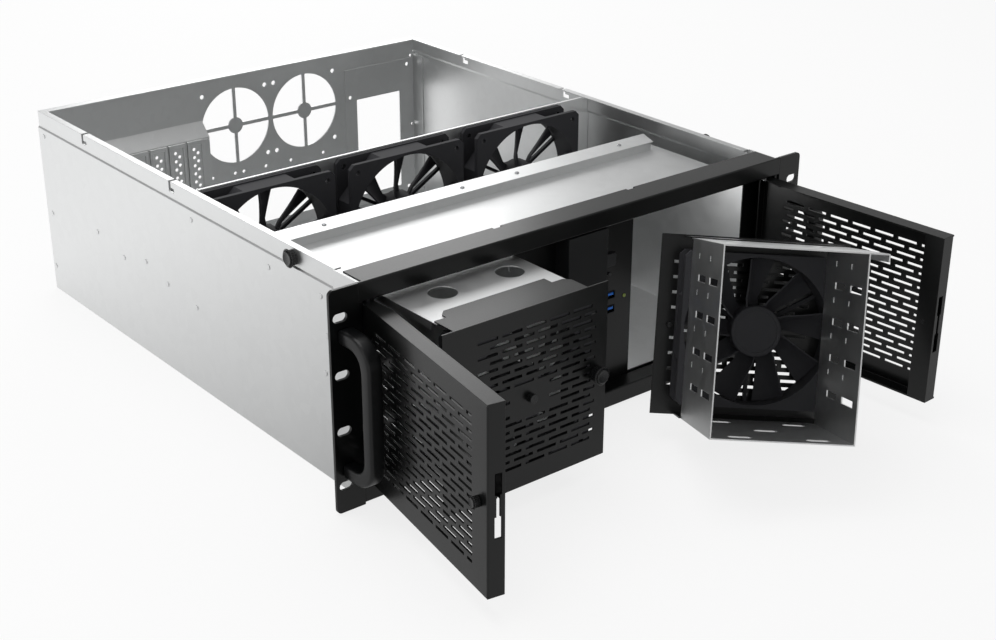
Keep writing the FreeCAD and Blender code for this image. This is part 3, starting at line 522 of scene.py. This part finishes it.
def knurled_head(radius, length, fasteners):
    """Thumbscrew head: ridged rim, chamfered ends and a shallow dish in its face."""
    ridges = fasteners.knurl_count
    head = turned_post(radius - fasteners.knurl_depth, length, ridges * 2)
    pick_parts(head, lambda face: abs(face.normal.z) > 0.9)
    bpy.ops.mesh.inset(thickness=radius * 0.12, depth=radius * 0.1)
    bpy.ops.mesh.select_all(action="DESELECT")
    switch("OBJECT")
    rim = sorted(
        (face for face in head.data.polygons if abs(face.normal.z) < 0.1 and face.area > radius * length * 0.02),
        key=lambda face: math.atan2(face.center.y, face.center.x))
    for face in rim[::2]:
        face.select = True
    switch("EDIT")
    bpy.ops.mesh.inset(thickness=radius * 0.02, depth=fasteners.knurl_depth, use_individual=True)
    switch("OBJECT")
    pick_parts(head, lambda face: face.normal.z > 0.9)
    bpy.ops.mesh.inset(thickness=radius * 0.3, depth=-radius * 0.08)
    switch("OBJECT")
    return head


# Operators

class SERVERCASE_OT_sheet(bpy.types.Operator):
    """Give the bare sheet steel its zinc"""

    bl_idname = "servercase.sheet"
    bl_label = "Sheet steel"

    def execute(self, context):
        dress(["chassis_tray", "fan_wall", "front_top_plate", "drive_bay_frame", "centre_bay_box"], "galvanised_steel")
        return {"FINISHED"}


class SERVERCASE_OT_panels(bpy.types.Operator):
    """Coat the bezel, ears, right door and cage fronts, and finish the drive blank"""

    bl_idname = "servercase.panels"
    bl_label = "Coated panels"

    def execute(self, context):
        dress(["front_bezel", "left_ear", "right_ear", "centre_panel", "right_door",
               "left_cage_front", "right_cage_front"], "powder_coated_steel")
        dress(["drive_blank"], "blank_plastic")
        return {"FINISHED"}


class SERVERCASE_OT_handles(bpy.types.Operator):
    """Round the edges of the two bent handles and lacquer them"""

    bl_idname = "servercase.handles"
    bl_label = "Handles"

    # The bar is broader than the solid. Only this share of that lies inwards, where a door swings past it.
    inward = 0.28
    edge = 2.4 * MM

    def execute(self, context):
        fasteners = context.scene.servercase_fasteners
        for node in ("left_handle", "right_handle"):
            handle = merged_copy(node, node + "_rounded")
            low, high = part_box(node)
            side = 1 if low.x > 0 else -1
            inner, width = min(abs(low.x), abs(high.x)), high.x - low.x
            pivot = side * (inner + self.inward * width)
            switch("EDIT")
            bpy.ops.mesh.select_all(action="SELECT")
            bpy.ops.transform.resize(value=(fasteners.handle_width / width, 1, 1), center_override=(pivot, 0, 0))
            switch("OBJECT")
            handle = rounded(handle, self.edge, 4)
            finish_piece(handle, "lacquered_bar", "chassis")
            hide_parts(node)
        return {"FINISHED"}


class SERVERCASE_OT_covers(bpy.types.Operator):
    """Press and perforate the covers of the expansion slots"""

    bl_idname = "servercase.covers"
    bl_label = "Slot covers"

    count = 7
    sheet = 1.0 * MM
    # The pressed panel: its margin, the width of its slope and its depth.
    margin, slope, press = 2.9 * MM, 0.5 * MM, 0.8 * MM
    # Two staggered columns of holes: their radius, pitch, distance from the middle, and the top and spare room.
    hole, pitch, column, top, spare = 1.7 * MM, 8.4 * MM, 2.1 * MM, 7.5 * MM, 12.0 * MM

    def execute(self, context):
        low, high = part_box("slot_cover_1")
        sheet, ledge, middle = self.sheet, high.z - self.sheet, (low + high) / 2
        cover = block(
            (high.x - low.x, sheet, high.z - low.z), Matrix.Translation((middle.x, low.y + sheet / 2, middle.z)))
        switch("EDIT")
        bpy.ops.mesh.select_all(action="SELECT")
        bpy.ops.mesh.bisect(plane_co=(0, 0, ledge), plane_no=(0, 0, 1))
        pick_parts(cover, lambda face: face.normal.y > 0.9 and face.center.z > ledge)
        bpy.ops.mesh.extrude_region_move(TRANSFORM_OT_translate={"value": (0, high.y - low.y - sheet, 0)})
        for facing in (-1, 1):
            pick_parts(cover, lambda face: face.normal.y * facing > 0.9 and face.center.z < ledge)
            bpy.ops.mesh.inset(thickness=self.margin, depth=0)
            bpy.ops.mesh.inset(thickness=self.slope, depth=0)
            bpy.ops.transform.translate(value=(0, self.press, 0))
        switch("OBJECT")
        holes = [
            standing((middle.x + side * self.column, low.y - 2 * sheet,
                      ledge - self.top - self.pitch * (row + (side > 0) / 2)), (0, 1, 0))
            for row in range(int((high.z - low.z - self.spare) / self.pitch)) for side in (-1, 1)
        ]
        cover = punched(cover, repeated(turned_post(self.hole, 6 * sheet, 10), holes, "cover_holes"))
        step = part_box("slot_cover_2")[0].x - low.x
        covers = repeated(cover, [Matrix.Translation((step * i, 0, 0)) for i in range(self.count)], "slot_covers")
        finish_piece(covers, "galvanised_steel", "chassis", smooth=30.0)
        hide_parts(*("slot_cover_%d" % (i + 1) for i in range(self.count)))
        return {"FINISHED"}


class SERVERCASE_OT_latch(bpy.types.Operator):
    """Open the left door's edge channel behind its latch slot"""

    bl_idname = "servercase.latch"
    bl_label = "Left door latch"

    # The door's tip from its hinge, its depth and its rim, and the hinge's axis behind its face, in millimetres.
    tip, depth, rim, axis = 183.5, 13.0, 1.5, 6.0
    # The window's length, how deep it is cut, and its lower and upper edges.
    length, cut, low, high = 14.0, 5.0, 52.0, 88.0

    def execute(self, context):
        hinge, _ = line_of("left_door_hinge")
        screw, inward = line_of("left_door_screw_turn")
        reach = screw - hinge
        reach.z = 0
        along = (reach - inward * reach.dot(inward)).normalized()
        back = hinge + inward * (self.depth - self.axis) * MM
        middle = back + along * (self.tip - self.rim - self.length / 2) * MM
        middle.z = (self.low + self.high) / 2 * MM
        turn = Matrix((along, inward, Vector((0, 0, 1)))).transposed().to_4x4()
        size = Vector((self.length, self.cut, self.high - self.low)) * MM
        window = block(size, Matrix.Translation(middle) @ turn)
        door = punched(merged_copy("left_door", "left_door_opened"), window)
        finish_piece(door, "powder_coated_steel", "left_door", smooth=30.0)
        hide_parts("left_door")
        return {"FINISHED"}


class SERVERCASE_OT_cages(bpy.types.Operator):
    """Punch the drive mounting slots in the walls of both cages"""

    bl_idname = "servercase.cages"
    bl_label = "Drive cages"

    # Middle of the fan in the cage's own axes: across, back from its front, up, in millimetres.
    fan_middle = (52.0, 13.7, 70.3)
    # The cage's width, and how much longer than that the bars are that cut its walls.
    wall_width, spare = 107.0, 4.0
    # Heights of the rows of slots, the ends of the two slots in a row, and half a slot's height.
    rows = (28.5, 56.0, 83.5, 111.0)
    slots = ((51.5, 76.0), (88.5, 115.0))
    half = 2.6
    # A slit above each slot: its ends from the slot's start, and its edges from the row.
    slit = (-1.4, 0.6, 14.5, 18.5)

    def execute(self, context):
        near, far, low, high = self.slit
        boxes = []
        for start, end in self.slots:
            for row in self.rows:
                boxes.append((start, end, row - self.half, row + self.half))
                boxes.append((start + near, start + far, row + low, row + high))
        for side, body in (("left", "left_cage"), ("right", "chassis")):
            node = side + "_cage_body"
            cutter = self.cutter(boxes, self.cage_axes(side), node + "_slots")
            piece = punched(merged_copy(node, node + "_punched"), cutter)
            finish_piece(piece, "galvanised_steel", body, smooth=30.0)
            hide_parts(node)
        return {"FINISHED"}

    def cage_axes(self, side):
        """Move from the cage's own axes to where it stands, read from its fan and its screw."""
        middle, back = line_of(side + "_cage_fan_spin")
        reach = line_of(side + "_cage_screw_turn")[0] - middle
        across = (reach - back * reach.dot(back)).normalized()
        turn = Matrix((across, back, across.cross(back))).transposed().to_4x4()
        return Matrix.Translation(middle) @ turn @ Matrix.Translation(-Vector(self.fan_middle) * MM)

    def cutter(self, boxes, place, name):
        """Bars through both walls, each given by its ends along the cage and its lower and upper edges."""
        bars = []
        for start, end, low, high in boxes:
            size = Vector((self.wall_width + self.spare, end - start, high - low)) * MM
            middle = Vector((self.wall_width / 2, (start + end) / 2, (low + high) / 2)) * MM
            bars.append(block(size, place @ Matrix.Translation(middle)))
        return joined(bars, name)


class SERVERCASE_OT_controls(bpy.types.Operator):
    """Finish the buttons, ports, light, board, pins and pulls"""

    bl_idname = "servercase.controls"
    bl_label = "Controls"

    def execute(self, context):
        dress(["power_button", "reset_button"], "button_plastic")
        dress(["usb_shells"], "black_nickel")
        dress(["usb_tongues"], "port_plastic")
        dress(["button_board"], "circuit_board")
        dress(["status_light"], "light_pipe")
        dress(["hinge_pins", "standoffs", "handle_screws"], "zinc_screw")
        dress(["left_cage_pull", "right_cage_pull"], "knob_plastic")
        return {"FINISHED"}


class SERVERCASE_OT_fans(bpy.types.Operator):
    """Drill the fan frames' corners and finish the fans"""

    bl_idname = "servercase.fans"
    bl_label = "Fans"

    # Length of the drill, longer than a frame's depth of 25 mm, and the longest edge that is a side of a frame.
    drill, longest_side = 30 * MM, 115 * MM

    def execute(self, context):
        fasteners = context.scene.servercase_fasteners
        half = fasteners.fan_spacing / 2
        for stem, body in FANS:
            node = stem % "frame"
            centre, axis = line_of(stem % "spin")
            side, up = self.frame_axes(node, axis)
            places = [
                standing(centre + side * half * i + up * half * k - axis * self.drill / 2, axis)
                for i in (-1, 1) for k in (-1, 1)
            ]
            cutter = repeated(turned_post(fasteners.fan_hole, self.drill, 14), places, node + "_holes")
            piece = punched(merged_copy(node, node + "_drilled"), cutter)
            finish_piece(piece, "fan_plastic", body)
            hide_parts(node)
        return {"FINISHED"}

    def frame_axes(self, node, axis):
        """Directions of the square frame's two sides, read from its longest straight edges."""
        mesh = NODES[node].data
        runs = (mesh.vertices[b].co - mesh.vertices[a].co for a, b in (edge.vertices for edge in mesh.edges))
        flat = [run for run in runs if abs(run.normalized().dot(axis)) < 0.01 and run.length < self.longest_side]
        side = max(flat, key=lambda run: run.length).normalized()
        return side, axis.cross(side)


class SERVERCASE_OT_rotors(bpy.types.Operator):
    """Model the curved blades and hubs of the five fans"""

    bl_idname = "servercase.rotors"
    bl_label = "Fan rotors"

    # The cup's rounded rim, and its groove's distance from the rim, width and depth.
    rim, groove_place, groove_width, groove_depth = 1.2 * MM, 2.2 * MM, 0.2 * MM, 0.4 * MM
    # How far a blade starts inside the hub and runs past its tip before it is trimmed, and its steps.
    sunk, spare, steps = 1.5 * MM, 2 * MM, 6
    # Length of the ring that trims the tips, and how close a point lies to the edge that it belongs to.
    ring_length, near = 60 * MM, 0.1 * MM

    def execute(self, context):
        fans = context.scene.servercase_fans
        impeller = self.impeller(fans)
        for stem, _ in FANS:
            node, joint = stem % "rotor", stem % "spin"
            phase = fans.cage_phase if node == "right_cage_fan_rotor" else 0.0
            centre, axis = line_of(joint)
            reach = [(point.co - centre).dot(axis) for point in NODES[node].data.vertices]
            # The cup reaches further to the front of the fan than to its struts.
            ahead = axis if -min(reach) > max(reach) else -axis
            rotor = placed(node + "_curved", impeller.data.copy())
            rotor.data.transform(standing(centre, ahead) @ Matrix.Rotation(phase, 4, "Z"))
            finish_piece(rotor, "fan_plastic", JOINTS[joint]["child"], smooth=40.0)
            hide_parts(node)
        bpy.data.objects.remove(impeller)
        return {"FINISHED"}

    def impeller(self, fans):
        """Hub cup and blades about +Z, the front of the fan towards -Z."""
        length = fans.hub_front + fans.hub_back
        hub = turned_post(fans.hub_radius, length, 48)
        hub.data.transform(Matrix.Translation((0, 0, -fans.hub_front)))
        pick_parts(hub, lambda face: face.normal.z < -0.9)
        bpy.ops.mesh.bevel(offset=self.rim, segments=3)
        pick_parts(hub, lambda face: face.normal.z < -0.99)
        bpy.ops.mesh.inset(thickness=self.groove_place, depth=0)
        bpy.ops.mesh.inset(thickness=self.groove_width, depth=-self.groove_depth)
        switch("OBJECT")
        turns = [Matrix.Rotation(2 * math.pi * i / fans.blades, 4, "Z") for i in range(fans.blades)]
        blades = repeated(self.blade(fans), turns, "fan_blades")
        return joined([hub, blades], "impeller")

    def blade(self, fans):
        """One cambered blade along +X, drawn out from the hub in steps that twist and widen it."""
        root, half, steps = fans.hub_radius - self.sunk, fans.root_chord / 2, self.steps
        step = (fans.tip_radius + self.spare - root) / steps
        deselect()
        bpy.ops.mesh.primitive_grid_add(x_subdivisions=1, y_subdivisions=6, size=1, location=(0, 0, 0))
        blade = bpy.context.active_object
        blade.data.transform(Matrix.Diagonal((step, fans.root_chord, 1, 1)))
        blade.data.transform(Matrix.Translation((root + step / 2, 0, 0)))
        for share in (0, 1 / 3, 2 / 3):
            pick_parts(blade, lambda point: abs(abs(point.co.y) - share * half) < self.near, "VERT")
            bpy.ops.transform.translate(value=(0, 0, fans.camber * (1 - share * share)))
        bpy.ops.mesh.select_all(action="SELECT")
        bpy.ops.transform.rotate(
            value=-fans.root_pitch, orient_axis="X", orient_type="GLOBAL", center_override=(0, 0, 0))
        turn = (fans.root_pitch - fans.tip_pitch) / (steps - 1)
        growth = (fans.tip_chord / fans.root_chord) ** (1 / (steps - 1))
        for i in range(1, steps):
            edge = root + step * i
            pick_parts(blade, lambda point: point.co.x > edge - self.near, "VERT")
            bpy.ops.mesh.extrude_region_move(TRANSFORM_OT_translate={"value": (step, fans.sweep / steps, 0)})
            centre = (edge + step, fans.sweep / steps * i, 0)
            bpy.ops.transform.rotate(value=turn, orient_axis="X", orient_type="GLOBAL", center_override=centre)
            bpy.ops.transform.resize(value=(1, growth, growth), center_override=centre)
        switch("OBJECT")
        skin = blade.modifiers.new("thickness", "SOLIDIFY")
        skin.thickness, skin.offset = fans.blade_thickness, 0
        bpy.ops.object.modifier_apply(modifier=skin.name)
        ring = turned_post(fans.tip_radius, self.ring_length, 96)
        ring.data.transform(Matrix.Translation((0, 0, -self.ring_length / 2)))
        return punched(blade, ring, "INTERSECT")


class SERVERCASE_OT_rear(bpy.types.Operator):
    """Punch the small holes of the rear panel"""

    bl_idname = "servercase.rear"
    bl_label = "Rear panel"

    # Places across and up of the holes under the fans, round the supply and at the flanges, by radius.
    holes = {
        1.5: ((209.5, 157.0), (-209.5, 157.0), (209.5, 81.0), (-209.5, 81.0)),
        1.7: tuple((x, 71.8) for x in (-38.5, -12.5, -2.5, 23.8, 54.0, 94.0)),
        1.9: ((203.7, 148.7), (129.7, 124.7), (203.7, 10.7), (139.7, 10.7)),
    }
    # The punch's length, and the middle of the sheet behind its outer face.
    punch, sheet_middle = 6.0 * MM, 0.6 * MM

    def execute(self, context):
        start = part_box("rear_panel")[1].y - self.sheet_middle - self.punch / 2
        piece = merged_copy("rear_panel", "rear_panel_punched")
        for radius, spots in self.holes.items():
            places = [standing((x * MM, start, z * MM), (0, 1, 0)) for x, z in spots]
            piece = punched(piece, repeated(turned_post(radius * MM, self.punch, 12), places, "rear_holes"))
        finish_piece(piece, "galvanised_steel", "chassis", smooth=30.0)
        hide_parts("rear_panel")
        return {"FINISHED"}


class SERVERCASE_OT_rivets(bpy.types.Operator):
    """Set the flush rivets of both side walls"""

    bl_idname = "servercase.rivets"
    bl_label = "Wall rivets"

    # Distance behind the ears and height of each rivet, in millimetres.
    spots = (
        (238.9, 152.6), (416.3, 88.4), (367.3, 79.3), (325.7, 88.5), (288.9, 79.9), (240.6, 74.9),
        (122.1, 149.3), (51.3, 149.4), (516.1, 23.8), (48.9, 88.2), (45.1, 120.1), (510.0, 154.0), (510.0, 79.0),
    )

    def execute(self, context):
        fasteners = context.scene.servercase_fasteners
        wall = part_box("chassis_tray")[1].x
        places = [
            standing((side * wall, EAR_FRONT + y * MM, z * MM), (side, 0, 0)) for side in (-1, 1) for y, z in self.spots
        ]
        rivets = repeated(rivet_head(fasteners.rivet_radius, fasteners.rivet_height), places, "wall_rivets")
        finish_piece(rivets, "galvanised_steel", "chassis")
        return {"FINISHED"}


class SERVERCASE_OT_small_screws(bpy.types.Operator):
    """Set the cross-head screws of the slot covers and the front top plate"""

    bl_idname = "servercase.small_screws"
    bl_label = "Small screws"

    count = 7
    slot_head = 3.2 * MM
    plate_head, plate_rise = 1.9 * MM, 0.7 * MM
    # The plate's two rows of screws: distance behind the ears, and places across.
    lip_row, lip_spots = 128.0, (-160.0, -25.0, 33.0, 150.0)
    lid_row, lid_spots = 28.0, (-180.0, -60.0, 60.0, 165.0)
    plate_sheet = 1.2 * MM

    def execute(self, context):
        low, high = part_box("slot_cover_screws")
        head = self.slot_head
        pitch = (high.x - low.x - 2 * head) / (self.count - 1)
        heads = [
            standing((low.x + head + pitch * i, (low.y + high.y) / 2, low.z), (0, 0, 1)) for i in range(self.count)
        ]
        screws = repeated(cross_head(head, high.z - low.z), heads, "slot_screws")
        finish_piece(screws, "zinc_screw", "chassis")
        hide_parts("slot_cover_screws")
        low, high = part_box("front_top_plate")
        places = [
            standing((x * MM, EAR_FRONT + row * MM, height), (0, 0, 1))
            for row, spots, height in (
                (self.lip_row, self.lip_spots, high.z), (self.lid_row, self.lid_spots, low.z + self.plate_sheet))
            for x in spots
        ]
        plate_screws = repeated(cross_head(self.plate_head, self.plate_rise), places, "plate_screws")
        finish_piece(plate_screws, "zinc_screw", "chassis")
        return {"FINISHED"}


class SERVERCASE_OT_thumbscrews(bpy.types.Operator):
    """Turn the knurled thumbscrews of the lid, cages and doors"""

    bl_idname = "servercase.thumbscrews"
    bl_label = "Thumbscrews"

    # Radius and length of a head on the lid, and radius, length and shank of one on a cage and on a door.
    lid_head = (6.0 * MM, 5.5 * MM)
    cage_head = (6.0 * MM, 8.0 * MM, 6.5 * MM)
    door_head = (4.0 * MM, 5.0 * MM, 14.1 * MM)
    shank_radius = 2.0 * MM
    # How far the head stands off its panel, and the shank reaches into the head.
    stand, root = 0.3 * MM, 1.0 * MM

    def execute(self, context):
        fasteners = context.scene.servercase_fasteners
        low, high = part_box("lid_thumbscrews")
        middle = (low + high) / 2
        radius, length = self.lid_head
        places = [standing((side * (high.x - length), middle.y, middle.z), (side, 0, 0)) for side in (-1, 1)]
        lid = repeated(knurled_head(radius, length, fasteners), places, "lid_screws_knurled")
        finish_piece(lid, "knob_plastic", "chassis")
        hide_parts("lid_thumbscrews")
        for node, (radius, head, shank) in (
            ("left_cage_thumbscrew", self.cage_head), ("right_cage_thumbscrew", self.cage_head),
            ("left_door_screw", self.door_head), ("right_door_screw", self.door_head),
        ):
            face, axis = line_of(node.replace("thumbscrew", "screw") + "_turn")
            face -= axis * self.stand
            top = repeated(knurled_head(radius, head, fasteners), [standing(face, -axis)], node + "_top")
            stem = repeated(
                turned_post(self.shank_radius, shank, 20), [standing(face - axis * self.root, axis)], node + "_stem")
            screw = joined([top, stem], node + "_knurled")
            finish_piece(screw, "knob_plastic", node)
            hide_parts(node)
        return {"FINISHED"}


class SERVERCASE_OT_stage(bpy.types.Operator):
    """Lay the floor, hang the lights and set the camera"""

    bl_idname = "servercase.stage"
    bl_label = "Studio"

    floor_width = 12.0
    floor_drop = 0.5 * MM
    # Bright metal sees the paper's painted glow grow from dim to full between these distances behind the middle of the
    # case.
    paper_edge, paper_far, paper_full = -0.20, 0.35, 1.12
    # The height of a ray's direction at which the white backdrop ends and the dimmer ceiling begins.
    backdrop_top, ceiling_from = 0.06, 0.32
    # Name, place, width and height of each lamp, the point it faces and its power's name. The last one stands
    # in the empty bay, whose bare steel is bright in the photo.
    lamps = (
        ("light_above", (-0.3, 0.2, 2.0), (1.6, 1.6), (0, 0, 0), "key"),
        ("light_left", (-1.8, -0.6, 1.2), (1.2, 1.2), (0, 0, 0), "fill"),
        ("light_behind", (0.915, 1.585, 0.96), (0.9, 0.9), (0, 0, 0), "back"),
        ("light_bay", (0.10, -0.185, 0.125), (0.06, 0.09), (0.20, -0.18, 0.03), "bay"),
    )

    def execute(self, context):
        studio = context.scene.servercase_studio
        self.lay_floor(studio)
        self.hang_lights(studio)
        self.set_camera(studio)
        context.scene.view_settings.view_transform = "Standard"
        return {"FINISHED"}

    def lay_floor(self, studio):
        """White paper: plain matt, with a share of white glow, even for the camera, and for mirrors painted light that
        is dimmer towards the viewer.
        """
        deselect()
        bpy.ops.mesh.primitive_plane_add(size=self.floor_width, location=(0, 0, 0))
        floor = bpy.context.active_object
        floor.name = "studio_floor"
        floor.data.transform(Matrix.Translation((0, 0, -self.floor_drop)))
        material = bpy.data.materials.new("studio_paper")
        tree = blank_tree(material)
        place = add_node(tree, "ShaderNodeTexCoord").outputs["Object"]
        fibre = add_node(tree, "ShaderNodeTexNoise", values={"Scale": 3.0}, links={"Vector": place}).outputs["Fac"]
        mix = add_node(
            tree, "ShaderNodeMix", {"data_type": "RGBA"}, shades(studio.floor, 0.995, 1.005), {"Factor": fibre})
        diffuse = add_node(tree, "ShaderNodeBsdfDiffuse", links={"Color": mix.outputs["Result"]})
        # Painted shade: towards the viewer the paper leaves the lit part of the studio, so the glow that bright metal
        # mirrors is painted dimmer there and brighter than white behind the case.
        ahead = add_node(tree, "ShaderNodeSeparateXYZ", links={"Vector": place}).outputs["Y"]
        lit = add_node(
            tree, "ShaderNodeMapRange", links={"Value": ahead}, values={
                "From Min": self.paper_edge, "From Max": self.paper_far,
                "To Min": studio.near_paper, "To Max": self.paper_full}).outputs["Result"]
        white = add_node(tree, "ShaderNodeEmission", links={"Strength": white_to_camera(tree, lit)})
        share = add_node(
            tree, "ShaderNodeMath", {"operation": "MULTIPLY"}, {1: studio.paper_glow}, {0: seen_ray(tree)})
        paper = add_node(
            tree, "ShaderNodeMixShader",
            links={0: share.outputs["Value"], 1: diffuse.outputs["BSDF"], 2: white.outputs["Emission"]})
        add_node(tree, "ShaderNodeOutputMaterial", links={"Surface": paper.outputs["Shader"]})
        floor.data.materials.append(material)

    def hang_lights(self, studio):
        """Even white surroundings, and the lamps."""
        world = bpy.data.worlds.new("studio_surround")
        tree = blank_tree(world)
        # Mirror-like steel sees the white backdrop low down and a dimmer ceiling above it.
        aim = add_node(tree, "ShaderNodeTexCoord").outputs["Generated"]
        height = add_node(tree, "ShaderNodeSeparateXYZ", links={"Vector": aim}).outputs["Z"]
        graded = add_node(
            tree, "ShaderNodeMapRange", links={"Value": height}, values={
                "From Min": self.backdrop_top, "From Max": self.ceiling_from,
                "To Min": 1.0, "To Max": studio.ceiling}).outputs["Result"]
        soft = add_node(
            tree, "ShaderNodeMix", {"data_type": "FLOAT"}, {"A": studio.ambient},
            {"Factor": seen_ray(tree), "B": graded}).outputs["Result"]
        background = add_node(
            tree, "ShaderNodeBackground", values={"Color": (1, 1, 1, 1)},
            links={"Strength": white_to_camera(tree, soft)})
        add_node(tree, "ShaderNodeOutputWorld", links={"Surface": background.outputs["Background"]})
        bpy.context.scene.world = world
        for name, place, size, target, power in self.lamps:
            lamp = bpy.data.lights.new(name, "AREA")
            lamp.energy = getattr(studio, power)
            lamp.shape = "RECTANGLE"
            lamp.size, lamp.size_y = size
            obj = placed(name, lamp)
            obj.location = place
            obj.rotation_euler = (Vector(target) - Vector(place)).to_track_quat("-Z", "Y").to_euler()
            obj.visible_camera = False

    def set_camera(self, studio):
        """The photo's camera, fitted to the rack standard's sizes."""
        lens = bpy.data.cameras.new("studio_camera")
        lens.sensor_width = SENSOR_WIDTH
        lens.lens = studio.focal_pixels / IMAGE_WIDTH * SENSOR_WIDTH
        lens.clip_start, lens.clip_end = 0.05, 50.0
        camera = placed("studio_camera", lens)
        turned = Matrix.Rotation(-studio.yaw, 4, "Z") @ Matrix.Rotation(math.pi / 2 - studio.pitch, 4, "X")
        camera.matrix_world = Matrix.Translation(studio.place) @ turned @ Matrix.Rotation(studio.roll, 4, "Z")
        bpy.context.scene.camera = camera


OPERATORS = (
    SERVERCASE_OT_sheet, SERVERCASE_OT_panels, SERVERCASE_OT_latch, SERVERCASE_OT_handles,
    SERVERCASE_OT_cages, SERVERCASE_OT_controls, SERVERCASE_OT_fans, SERVERCASE_OT_rotors,
    SERVERCASE_OT_rear, SERVERCASE_OT_covers, SERVERCASE_OT_rivets, SERVERCASE_OT_small_screws,
    SERVERCASE_OT_thumbscrews, SERVERCASE_OT_stage,
)
GROUPS = (
    ("servercase_finishes", SERVERCASE_PG_finishes),
    ("servercase_fasteners", SERVERCASE_PG_fasteners),
    ("servercase_fans", SERVERCASE_PG_fans),
    ("servercase_studio", SERVERCASE_PG_studio),
)


class SERVERCASE_PT_panel(bpy.types.Panel):
    """Lists the steps that dress the case"""

    bl_label = "Server Case"
    bl_idname = "SERVERCASE_PT_panel"
    bl_space_type = "VIEW_3D"
    bl_region_type = "UI"
    bl_category = "Server Case"

    def draw(self, context):
        for step in OPERATORS:
            self.layout.operator(step.bl_idname)
        for name, group in GROUPS:
            box = self.layout.box()
            for entry in group.__annotations__:
                box.prop(getattr(context.scene, name), entry)


CLASSES = [group for _, group in GROUPS] + [*OPERATORS, SERVERCASE_PT_panel]


def register():
    for cls in CLASSES:
        bpy.utils.register_class(cls)
    for name, group in GROUPS:
        setattr(bpy.types.Scene, name, bpy.props.PointerProperty(type=group))


def unregister():
    for name, _ in GROUPS:
        delattr(bpy.types.Scene, name)
    for cls in reversed(CLASSES):
        bpy.utils.unregister_class(cls)


def main():
    register()
    for step in OPERATORS:
        getattr(bpy.ops.servercase, step.bl_idname.split(".")[1])()


if __name__ == "__main__":
    main()
